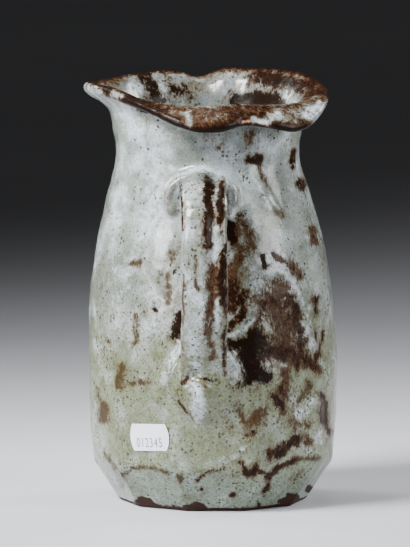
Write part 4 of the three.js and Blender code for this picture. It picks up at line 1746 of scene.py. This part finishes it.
@dataclass
class Sticker:
    """The small paper sticker, with plain digits printed on it."""

    wall: Wall
    width: float = 27 * MM
    height: float = 16 * MM
    thickness: float = 0.25 * MM
    stand_off: float = 0.55 * MM
    waist: float = 2.2 * MM
    direction: float = math.radians(-31.5)
    rise: float = 45 * MM
    tilt: float = math.radians(3.5)
    curl: float = 0.5 * MM
    curl_from: float = 0.5
    cells: tuple[int, int] = (54, 32)
    digits: str = "012345"
    digit_height: float = 8.0 * MM
    digit_narrow: float = 0.62
    digit_space: float = 1.25
    digit_drop: float = 3.4 * MM
    ink_depth: float = 0.04 * MM
    crease: float = math.radians(40)

    def onto_wall(self, piece: Piece, lift: float) -> None:
        """Bends a flat piece, drawn on the XY plane, onto the wall.

        Args:
            piece: The flat object. Its Z becomes the height over the wall.
            lift: How far its back stands off the wall.
        """
        places = vertex_array(piece.data)
        c, s = math.cos(self.tilt), math.sin(self.tilt)
        flat = places[:, :2] @ np.array(((c, s), (-s, c)))
        corner = np.abs(places[:, 0]) / (self.width / 2) * np.abs(places[:, 1]) / (self.height / 2)
        for i, (x, y) in enumerate(flat):
            height = self.rise + y
            direction = self.direction - math.pi / 2 + x / self.wall.radius(self.rise)
            out = self.wall.radius(height) * self.wall.paddle(direction, height)
            out += lift + places[i, 2] + self.curl * max(float(corner[i]) - self.curl_from, 0.0)
            places[i] = self.wall.place(direction, out, height)
        move_vertices(piece.data, places)

    def sheet(self) -> Piece:
        """Cuts the paper, draws in its corners and lays it on the wall.

        Returns:
            The sheet of paper.
        """
        deselect_all()
        across, up = self.cells
        bpy.ops.mesh.primitive_grid_add(x_subdivisions=across, y_subdivisions=up, size=1.0)
        piece = bpy.context.active_object
        piece.name = "lot_sticker"
        edit_whole(piece)
        bpy.ops.transform.resize(value=(self.width, self.height, 1.0))
        leave_edit()
        places = vertex_array(piece.data)
        upward = np.abs(places[:, 1]) / (self.height / 2)
        places[:, 0] *= 1.0 - 2 * self.waist * upward**2 / self.width
        move_vertices(piece.data, places)
        apply_modifier(piece, "paper", "SOLIDIFY", thickness=self.thickness, offset=1.0)
        self.onto_wall(piece, self.stand_off)
        return piece

    def print(self) -> Piece:
        """Prints the digits as a thin layer of ink on the paper.

        Returns:
            The layer of ink.
        """
        deselect_all()
        bpy.ops.object.text_add()
        text = bpy.context.active_object
        text.data.body = self.digits
        text.data.align_x = "CENTER"
        text.data.align_y = "CENTER"
        text.data.size = self.digit_height
        text.data.space_character = self.digit_space
        text.data.extrude = self.ink_depth
        bpy.ops.object.convert(target="MESH")
        piece = bpy.context.active_object
        piece.name = "sticker_digits"
        edit_whole(piece)
        bpy.ops.transform.resize(value=(self.digit_narrow, 1.0, 1.0))
        bpy.ops.transform.translate(value=(0.0, -self.digit_drop, 0.0))
        leave_edit()
        self.onto_wall(piece, self.stand_off + self.thickness + self.ink_depth)
        return piece


class NodeBench:
    """A node tree with short ways to add and join its nodes."""

    def __init__(self, tree: bpy.types.NodeTree) -> None:
        """Keeps the tree."""
        self.tree = tree

    def node(self, kind: str, inputs: dict | None = None, **settings: object) -> bpy.types.Node:
        """Adds a node.

        Args:
            kind: Blender's name of the node's type.
            inputs: Value or socket for each input, by its name or number.
            settings: Values of the node's own properties.

        Returns:
            The node.
        """
        made = self.tree.nodes.new(kind)
        for key, value in settings.items():
            setattr(made, key, value)
        self.feed(made, inputs or {})
        return made

    def feed(self, node: bpy.types.Node, inputs: dict) -> None:
        """Links sockets to a node's inputs, or sets their values.

        Args:
            node: The node.
            inputs: Value or socket for each input, by its name or number.
        """
        for key, value in inputs.items():
            if isinstance(value, Socket):
                self.tree.links.new(value, node.inputs[key])
            else:
                node.inputs[key].default_value = value

    def math(self, operation: str, first: object, second: object = 0.0) -> Socket:
        """The result of a sum on two values or sockets."""
        return self.node("ShaderNodeMath", {0: first, 1: second}, operation=operation).outputs[0]

    def vector(self, operation: str, first: object, second: object) -> Socket:
        """The result of a sum on two vectors or sockets."""
        return self.node("ShaderNodeVectorMath", {0: first, 1: second}, operation=operation).outputs[0]

    def swing(self, noise: object, amount: float) -> Socket:
        """Noise made to swing about zero."""
        return self.math("MULTIPLY", self.math("SUBTRACT", noise, 0.5), amount)

    def height(self, place: object) -> Socket:
        """The height of a place."""
        return self.node("ShaderNodeSeparateXYZ", {0: place}).outputs[2]

    def surface(self, inputs: dict) -> None:
        """Ends a material with its shader."""
        shader = self.node("ShaderNodeBsdfPrincipled", inputs)
        self.node("ShaderNodeOutputMaterial", {"Surface": shader.outputs[0]})

    def mix(self, share: object, first: object, second: object) -> Socket:
        """A colour between two colours or sockets."""
        return self.node("ShaderNodeMix", {0: share, 6: first, 7: second}, data_type="RGBA").outputs[2]

    def ease(
        self, value: object, low: float, high: float, to_low: float = 0.0, to_high: float = 1.0
    ) -> Socket:
        """A smooth step of a socket's value from low to high."""
        inputs = {0: value, 1: low, 2: high, 3: to_low, 4: to_high}
        return self.node("ShaderNodeMapRange", inputs, interpolation_type="SMOOTHSTEP").outputs[0]

    def noise(
        self, place: object, size: float, detail: float = 3.0, rough: float = 0.55, swirl: float = 0.0
    ) -> Socket:
        """Noise with patches of about a size, in metres.

        Args:
            place: Where the noise is read.
            size: Size of its patches.
            detail: How many finer layers it has.
            rough: How strong the finer layers are.
            swirl: How far it is drawn out of shape.

        Returns:
            The noise, from 0 to 1.
        """
        inputs = {"Vector": place, "Scale": 1.0 / size}
        inputs |= {"Detail": detail, "Roughness": rough, "Distortion": swirl}
        return self.node("ShaderNodeTexNoise", inputs).outputs[0]


# Milk carries thick white glaze and painted highlights; Thin carries painted shade and darker olive grey
# glaze.
PAINTED = ("Iron", "Tone", "Milk", "Thin", "Bare", "Blush", "Proud")
SOCKETS = {"Place": "NodeSocketVector", "Colour": "NodeSocketColor"}


def shader_group(
    name: str, inputs: Iterable[str], outputs: Iterable[str]
) -> tuple[NodeBench, dict, bpy.types.Node]:
    """Starts a shader node group.

    Args:
        name: Name of the group.
        inputs: Names of its inputs.
        outputs: Names of its outputs.

    Returns:
        The group's bench, its input sockets by name, and its output node.
    """
    tree = bpy.data.node_groups.new(name, "ShaderNodeTree")
    for names, way in ((inputs, "INPUT"), (outputs, "OUTPUT")):
        for key in names:
            kind = SOCKETS.get(key, "NodeSocketFloat")
            tree.interface.new_socket(key, in_out=way, socket_type=kind)
    bench = NodeBench(tree)
    entry = bench.node("NodeGroupInput")
    return bench, {socket.name: socket for socket in entry.outputs}, bench.node("NodeGroupOutput")


def start_material(name: str) -> tuple[bpy.types.Material, NodeBench, Socket]:
    """Starts a material.

    Args:
        name: Its name.

    Returns:
        The material, the bench of its nodes, and the place on the piece that its patterns follow.
    """
    made = bpy.data.materials.new(name)
    made.use_nodes = True
    made.node_tree.nodes.clear()
    bench = NodeBench(made.node_tree)
    return made, bench, bench.node("ShaderNodeTexCoord").outputs["Object"]


def srgb(red: int, green: int, blue: int) -> tuple[float, float, float, float]:
    """A colour as seen on a screen, from 0 to 255, as the shader's own light values."""
    parts = (value / 255 for value in (red, green, blue))
    return (*(v / 12.92 if v <= 0.04045 else ((v + 0.055) / 1.055) ** 2.4 for v in parts), 1.0)


@dataclass(frozen=True)
class IronBreak:
    """Where the iron breaks through the glaze: a painted share, broken up by the glaze's grain."""

    name: str = "iron_break"
    sag: tuple[float, float, float] = (1.0, 1.0, 0.6)
    grains: tuple[Pair, ...] = ((12 * MM, 0.55), (3.2 * MM, 1.25), (1.0 * MM, 1.0))
    swirl: float = 0.6
    proud_share: float = 0.3
    edge: Pair = (0.39, 0.65)
    halo: Pair = (0.08, 0.46)

    def group(self) -> bpy.types.NodeTree:
        """Builds the node group.

        Returns:
            The group.
        """
        bench, given, out = shader_group(self.name, ("Place", "Iron", "Proud"), ("Mask", "Halo", "Depth"))
        sagging = bench.vector("MULTIPLY", given["Place"], self.sag)
        thin = bench.math("MULTIPLY", bench.math("MAXIMUM", given["Proud"], 0.0), self.proud_share)
        total = bench.math("ADD", given["Iron"], thin)
        for size, amount in self.grains:
            grain = bench.swing(bench.noise(sagging, size, swirl=self.swirl), amount)
            total = bench.math("ADD", total, grain)
        mask = bench.ease(total, *self.edge)
        halo = bench.ease(total, *self.halo)
        bench.feed(out, {"Mask": mask, "Halo": halo, "Depth": total})
        return bench.tree


@dataclass(frozen=True)
class Pinholes:
    """Pinholes in the glaze, and the specks of iron that lie under it."""

    name: str = "pinholes"
    spacing: float = 6.5 * MM
    hole: float = 0.17
    speck_spacing: float = 2.0 * MM
    speck: float = 0.56
    warp: float = 0.6
    patch: float = 22 * MM
    thin_out: Pair = (60 * MM, 190 * MM)

    def _dots(self, bench: NodeBench, place: object, spacing: float, size: float, amount: object) -> object:
        """Round dots of mixed sizes, one in a share of the cells.

        Args:
            bench: Bench of the group.
            place: Where the dots are read.
            spacing: Distance from cell to cell.
            size: Reach of the largest dot, as a share of the spacing.
            amount: Share of the cells that hold a dot.

        Returns:
            A mask of the dots.
        """
        wide = self.warp * spacing
        warp = bench.node("ShaderNodeTexNoise", {"Vector": place, "Scale": 1.0 / wide}).outputs["Color"]
        shift = bench.vector("MULTIPLY", bench.vector("ADD", warp, (-0.5, -0.5, -0.5)), (wide, wide, wide))
        warped = bench.vector("ADD", place, shift)
        cells = bench.node("ShaderNodeTexVoronoi", {"Vector": warped, "Scale": 1.0 / spacing})
        chance = bench.node("ShaderNodeSeparateColor", {0: cells.outputs["Color"]})
        reach = bench.math("MULTIPLY", bench.math("POWER", chance.outputs[0], 1.2), size)
        dot = bench.ease(bench.math("SUBTRACT", reach, cells.outputs["Distance"]), -0.02, 0.1)
        return bench.math("MULTIPLY", dot, bench.math("LESS_THAN", chance.outputs[1], amount))

    def group(self) -> bpy.types.NodeTree:
        """Builds the node group.

        Returns:
            The group.
        """
        bench, given, out = shader_group(self.name, ("Place", "Holed", "Specked"), ("Holes", "Specks"))
        place = given["Place"]
        height = bench.height(place)
        patches = bench.ease(bench.noise(place, self.patch, 4.0), 0.4, 0.62, 0.08, 1.0)
        low = bench.ease(height, *self.thin_out, 1.0, 0.45)
        specked = bench.math("MULTIPLY", given["Specked"], bench.math("MULTIPLY", patches, low))
        holed = bench.math("MULTIPLY", given["Holed"], bench.ease(patches, 0.0, 1.0, 0.5, 1.0))
        holes = self._dots(bench, place, self.spacing, self.hole, holed)
        specks = self._dots(bench, place, self.speck_spacing, self.speck, specked)
        bench.feed(out, {"Holes": holes, "Specks": specks})
        return bench.tree


@dataclass(frozen=True)
class RunGlaze:
    """The colour of the glaze: milky above, grey green below, brown where the iron broke through, with
    painted highlights and painted shade.
    """

    name: str = "run_glaze"
    # Also the colour of painted highlights.
    milk: tuple = srgb(192, 203, 211)
    pale: tuple = srgb(158, 166, 164)
    grey: tuple = srgb(118, 125, 117)
    green: tuple = srgb(117, 126, 96)
    foot: tuple = srgb(122, 140, 131)
    olive: tuple = srgb(86, 84, 55)
    # Colour of painted shade and darker olive grey glaze low on the pot.
    thin: tuple = srgb(94, 98, 80)
    # Colour of painted shade and darker grey glaze high on the pot and inside the neck.
    high_shade_and_thin: tuple = srgb(93, 99, 101)
    ochre: tuple = srgb(83, 71, 48)
    weak_iron: tuple = srgb(64, 53, 35)
    rust: tuple = srgb(92, 62, 44)
    brown: tuple = srgb(48, 29, 19)
    black: tuple = srgb(26, 16, 10)
    speck: tuple = srgb(56, 47, 30)
    blush: tuple = srgb(190, 146, 118)
    clay: tuple = srgb(52, 36, 31)
    hole: tuple = srgb(38, 31, 24)
    green_level: Pair = (78 * MM, 122 * MM)
    foot_level: Pair = (14 * MM, 40 * MM)
    olive_level: Pair = (70 * MM, 200 * MM)
    dust_level: Pair = (60 * MM, 190 * MM)
    pool_level: Pair = (60 * MM, 140 * MM)
    high_shade_and_thin_level: Pair = (120 * MM, 190 * MM)
    level_swing: float = 70 * MM
    cloud_size: float = 30 * MM
    mottle_size: float = 7 * MM
    dust_size: float = 1.6 * MM
    pool_size: float = 15 * MM
    ragged_size: float = 5 * MM
    iron_size: float = 2.6 * MM
    grain_size: float = 3.0 * MM
    peel_size: float = 1.5 * MM
    rim_size: float = 3.6 * MM
    shade_size: float = 0.9 * MM

    def _glaze(self, bench: NodeBench, given: dict) -> object:
        """Colour of the glaze itself, with its painted highlights and painted shade.

        Args:
            bench: Bench of the group.
            given: The group's input sockets by name.

        Returns:
            The colour.
        """
        place = given["Place"]
        height = bench.height(place)
        cloud = bench.noise(place, self.cloud_size, 4.0)
        level = bench.math("ADD", height, bench.swing(cloud, self.level_swing))
        colour = bench.mix(bench.ease(cloud, 0.38, 0.64), self.grey, self.pale)
        colour = bench.mix(bench.ease(level, *self.green_level, 0.9, 0.0), colour, self.green)
        colour = bench.mix(bench.ease(level, *self.foot_level, 0.8, 0.0), colour, self.foot)
        mottle = bench.noise(place, self.mottle_size, 5.0, 0.65, 0.5)
        thin = bench.ease(level, *self.olive_level, 0.62, 0.24)
        thin = bench.math("MULTIPLY", bench.ease(mottle, 0.48, 0.7), thin)
        colour = bench.mix(thin, colour, self.olive)
        dust = bench.ease(bench.noise(place, self.dust_size, 3.0, 0.6, 0.5), 0.5, 0.68)
        dust = bench.math("MULTIPLY", dust, bench.ease(level, *self.dust_level, 0.9, 0.26))
        thick = bench.ease(bench.noise(place, self.pool_size, 5.0), 0.5, 0.7)
        thick = bench.math("MULTIPLY", thick, bench.ease(level, *self.pool_level, 0.34, 0.7))
        pooled = bench.math("MULTIPLY", given["Proud"], -0.5)
        ragged = bench.swing(bench.noise(place, self.ragged_size, 5.0, 0.65), 1.6)
        # Thick white glaze and painted highlights.
        milk = bench.ease(bench.math("ADD", given["Milk"], ragged), 0.3, 1.0)
        thick = bench.math("MAXIMUM", bench.math("MAXIMUM", thick, pooled), milk)
        colour = bench.mix(thick, colour, self.milk)
        # Painted shade and darker glaze: olive grey low down, blue grey high up and inside the neck.
        thin = bench.math("MULTIPLY", given["Thin"], bench.ease(mottle, 0.3, 0.7, 0.4, 0.95))
        thin = bench.math("MULTIPLY", thin, bench.ease(milk, 0.0, 1.0, 1.0, 0.3))
        clay = bench.mix(bench.ease(height, *self.high_shade_and_thin_level), self.thin, self.high_shade_and_thin)
        colour = bench.mix(thin, colour, clay)
        colour = bench.mix(dust, colour, self.olive)
        edge = bench.ease(bench.math("ADD", given["Proud"], ragged), 0.25, 0.9, 0.0, 0.6)
        halo = bench.math("MULTIPLY", given["Halo"], 0.7)
        colour = bench.mix(bench.math("MAXIMUM", edge, halo), colour, self.ochre)
        return bench.mix(bench.math("MULTIPLY", given["Specks"], 0.85), colour, self.speck)

    def _iron(self, bench: NodeBench, given: dict) -> object:
        """Colour of the iron that broke through: red where it is thin, black where it lies thick.

        Args:
            bench: Bench of the group.
            given: The group's input sockets by name.

        Returns:
            The colour.
        """
        grain = bench.swing(bench.noise(given["Place"], self.iron_size, 5.0, 0.75, 0.8), 2.4)
        deep = bench.math("MULTIPLY", bench.math("SUBTRACT", given["Depth"], 0.72), 1.1)
        tone = bench.math("ADD", bench.math("ADD", given["Tone"], deep), grain)
        colour = bench.mix(bench.ease(tone, -0.08, 0.5), self.weak_iron, self.rust)
        colour = bench.mix(bench.ease(tone, 0.1, 0.55), colour, self.brown)
        return bench.mix(bench.ease(tone, 0.45, 1.0), colour, self.black)

    def group(self) -> bpy.types.NodeTree:
        """Builds the node group.

        Returns:
            The group.
        """
        bench, given, out = shader_group(
            self.name,
            ("Place", "Mask", "Halo", "Depth", *PAINTED[1:], "Holes", "Specks"),
            ("Colour", "Roughness", "Coat", "Height"),
        )
        place = given["Place"]
        colour = bench.mix(given["Mask"], self._glaze(bench, given), self._iron(bench, given))
        colour = bench.mix(given["Holes"], colour, self.hole)
        grain = bench.noise(place, self.grain_size, 4.0)
        peel = bench.noise(place, self.peel_size, 2.0)
        torn = bench.ease(bench.math("ADD", given["Blush"], bench.math("SUBTRACT", grain, 0.5)), 0.45, 0.65)
        pink = bench.math("MULTIPLY", torn, bench.ease(peel, 0.3, 0.7, 0.6, 1.0))
        colour = bench.mix(pink, colour, self.blush)
        rim = bench.swing(bench.noise(place, self.rim_size, 5.0, 0.75), 1.5)
        bare = bench.ease(bench.math("ADD", given["Bare"], rim), 0.42, 0.62)
        colour = bench.mix(bare, colour, self.clay)
        dust = bench.noise(place, self.shade_size, 3.0)
        shade = bench.ease(dust, 0.3, 0.7, 0.76, 1.18)
        colour = bench.vector("MULTIPLY", colour, shade)
        dull = bench.math("MAXIMUM", bare, torn)
        rough = bench.math("ADD", bench.math("MULTIPLY", grain, 0.2), bench.math("MULTIPLY", dull, 0.45))
        relief = bench.math("ADD", bench.math("MULTIPLY", peel, 0.3), bench.math("MULTIPLY", grain, 0.35))
        relief = bench.math("SUBTRACT", relief, bench.math("MULTIPLY", given["Mask"], 0.22))
        relief = bench.math("SUBTRACT", relief, bench.math("MULTIPLY", given["Holes"], 0.6))
        pits = bench.math("MULTIPLY", dull, bench.math("MULTIPLY", grain, 0.5))
        relief = bench.math("SUBTRACT", relief, pits)
        bench.feed(
            out,
            {
                "Colour": colour,
                "Roughness": bench.math("ADD", rough, 0.14),
                "Coat": bench.ease(bench.math("MAXIMUM", dull, given["Mask"]), 0.0, 1.0, 0.7, 0.07),
                "Height": relief,
            },
        )
        return bench.tree


class Glazes:
    """The glazed finishes: every piece wears the same run glaze, since it was dipped whole."""

    HOLED = 0.4
    SPECKED = 0.8
    BUMP = 0.6 * MM
    BUMP_STRENGTH = 0.8
    COAT_ROUGHNESS = 0.16
    SPECULAR = 0.05

    def __init__(self) -> None:
        """Builds the shared node groups once."""
        self.groups = (IronBreak().group(), Pinholes().group(), RunGlaze().group())

    def material(self, name: str) -> bpy.types.Material:
        """A glazed finish.

        Args:
            name: Name of the material.

        Returns:
            The material.
        """
        made, bench, place = start_material(name)
        sockets = {"Place": place, "Holed": self.HOLED, "Specked": self.SPECKED}
        for key in PAINTED:
            sockets[key] = bench.node("ShaderNodeAttribute", attribute_name=key.lower()).outputs["Fac"]
        for tree in self.groups:
            group = bench.node("ShaderNodeGroup", node_tree=tree)
            bench.feed(group, {socket.name: sockets[socket.name] for socket in group.inputs})
            sockets.update((socket.name, socket) for socket in group.outputs)
        bump = {"Height": sockets["Height"], "Strength": self.BUMP_STRENGTH, "Distance": self.BUMP}
        bench.surface(
            {
                "Base Color": sockets["Colour"],
                "Roughness": sockets["Roughness"],
                "Coat Weight": sockets["Coat"],
                "Coat Roughness": self.COAT_ROUGHNESS,
                "Specular IOR Level": self.SPECULAR,
                "Normal": bench.node("ShaderNodeBump", bump).outputs[0],
            }
        )
        return made


@dataclass(frozen=True)
class PlainFinish:
    """A matt finish with a faint grain: paper, ink and the studio floor."""

    name: str
    colour: tuple
    shade: tuple
    grain: float
    roughness: float
    relief: float
    relief_strength: float = 0.3
    shade_range: Pair = (0.35, 0.75)

    def material(self) -> bpy.types.Material:
        """Builds the material.

        Returns:
            The material.
        """
        made, bench, place = start_material(self.name)
        grain = bench.noise(place, self.grain, 5.0)
        bump = {"Height": grain, "Strength": self.relief_strength, "Distance": self.relief}
        bench.surface(
            {
                "Base Color": bench.mix(bench.ease(grain, *self.shade_range), self.colour, self.shade),
                "Roughness": self.roughness,
                "Normal": bench.node("ShaderNodeBump", bump).outputs[0],
            }
        )
        return made


PALE_FLOOR = PlainFinish("pale floor", srgb(212, 213, 219), srgb(206, 207, 213), 0.3, 0.6, 0.1 * MM)
PAPER = PlainFinish("paper", srgb(240, 243, 254), srgb(232, 236, 249), 1.5 * MM, 0.7, 0.05 * MM)
INK = PlainFinish("ink", srgb(78, 80, 96), srgb(140, 142, 154), 0.7 * MM, 0.6, 0.02 * MM)


@dataclass(frozen=True)
class SoftLight:
    """A large soft light that points at the pot."""

    name: str
    place: tuple[float, float, float]
    size: float
    power: float
    spread: float

    def build(self, target: Vector) -> None:
        """Sets up the light.

        Args:
            target: The place that it points at.
        """
        bpy.ops.object.light_add(type="AREA", location=self.place)
        lamp = bpy.context.active_object
        lamp.name = self.name
        lamp.data.shape = "SQUARE"
        lamp.data.size = self.size
        lamp.data.energy = self.power
        lamp.data.spread = self.spread
        lamp.rotation_euler = (target - Vector(self.place)).to_track_quat("-Z", "Y").to_euler()


@dataclass
class Studio:
    """A plain pale floor, soft lights and the camera of the photograph."""

    view: PhotoView = field(default_factory=PhotoView)
    floor_half: float = 9.0
    sensor: float = 24.0
    world: float = 0.03
    sight: float = 50.0
    lights: tuple[SoftLight, ...] = (
        SoftLight("key", (-0.85, -0.65, 1.2), 0.5, 6.0, math.radians(55)),
        SoftLight("window", (-1.25, -1.0, 0.55), 0.55, 1.7, math.radians(45)),
        SoftLight("top", (0.0, 0.25, 1.5), 0.5, 0.4, math.radians(50)),
        SoftLight("fill", (1.4, -0.55, 0.55), 0.9, 2.3, math.radians(50)),
        SoftLight("back left", (-1.1, 0.7, 0.8), 0.5, 1.1, math.radians(45)),
        SoftLight("back right", (1.1, 0.7, 0.8), 0.5, 1.0, math.radians(45)),
    )

    def build(self) -> None:
        """Sets up the floor, the lights, the dim room and the camera."""
        deselect_all()
        bpy.ops.mesh.primitive_plane_add(size=2 * self.floor_half)
        floor = bpy.context.active_object
        floor.name = "studio_floor"
        floor.data.materials.append(PALE_FLOOR.material())
        target = Vector(self.view.target)
        for light in self.lights:
            light.build(target)
        room = bpy.data.worlds.new("dim room")
        room.use_nodes = True
        room.node_tree.nodes["Background"].inputs[0].default_value = (self.world, self.world, self.world, 1.0)
        bpy.context.scene.world = room
        bpy.ops.object.camera_add(location=target + Vector(self.view.back()) * self.view.distance)
        camera = bpy.context.active_object
        camera.rotation_euler = (math.pi / 2 - self.view.elevation, 0.0, 0.0)
        camera.data.sensor_width = self.sensor
        camera.data.lens = self.sensor * self.view.distance / (self.view.height * self.view.pixel)
        camera.data.clip_end = self.sight
        bpy.context.scene.camera = camera


SLOTS = {
    "floor_slab": "bare_clay",
    "foot_course": "green_glaze",
    "belly_course": "green_glaze",
    "shoulder_course": "pale_glaze",
    "neck_collar": "pale_glaze",
    "spout_lip": "brown_glaze",
    "round_lip": "brown_glaze",
    "handle_strap": "pale_glaze",
    "handle_collar": "pale_glaze",
    "handle_pad": "green_glaze",
}


class Pitcher:
    """The whole pitcher."""

    def __init__(self) -> None:
        """Settles the forms that the pieces follow."""
        self.wall = Wall()
        self.lip = Lip(self.wall)
        self.handle = Handle(self.wall)
        self.sticker = Sticker(self.wall)

    def build(self) -> None:
        """Makes every piece, dresses it and hangs it on the frame."""
        skin = Skin(self.wall, self.lip, self.handle).build()
        whole = skin.copy()
        whole.data = skin.data.copy()
        bpy.context.collection.objects.link(whole)
        take_up(whole)
        bpy.ops.object.shade_smooth()
        pieces = PieceCutter(skin, self.wall, self.lip, self.handle).cut()
        glazes = Glazes()
        finishes = {slot: glazes.material(slot) for slot in sorted(set(SLOTS.values()))}
        for node, piece in pieces.items():
            take_up(piece)
            bpy.ops.object.shade_smooth()
            apply_modifier(
                piece,
                "shade of the whole skin",
                "DATA_TRANSFER",
                object=whole,
                use_loop_data=True,
                data_types_loops={"CUSTOM_NORMAL"},
                loop_mapping="POLYINTERP_NEAREST",
            )
            self._finish(piece, node, "skin_" + node, finishes[SLOTS[node]])
        bpy.data.objects.remove(whole)
        printed = ((self.sticker.sheet(), "lot_sticker", PAPER), (self.sticker.print(), None, INK))
        for piece, node, finish in printed:
            take_up(piece)
            bpy.ops.object.shade_smooth_by_angle(angle=self.sticker.crease)
            self._finish(piece, node, finish.name + "_of_the_sticker", finish.material())

    def _finish(
        self, piece: Piece, node: str | None, name: str, material: bpy.types.Material
    ) -> None:
        """Names and dresses a piece, and hangs it on the frame.

        Args:
            piece: The finished object.
            node: The CAD node that it stands for, if any.
            name: Its name.
            material: Its material.
        """
        piece.name = name
        piece.data.materials.clear()
        piece.data.materials.append(material)
        piece.vertex_groups.clear()
        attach(piece, BODY)
        if node:
            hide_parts(node)
        log.info("%s: %d faces", name, len(piece.data.polygons))


def main() -> None:
    """Builds the pitcher and the studio round it."""
    logging.basicConfig(level=logging.INFO, format="%(name)s: %(message)s")
    log.info("frame of %d nodes", len(frame["nodes"]))
    Pitcher().build()
    Studio().build()


if __name__ == "__main__":
    main()
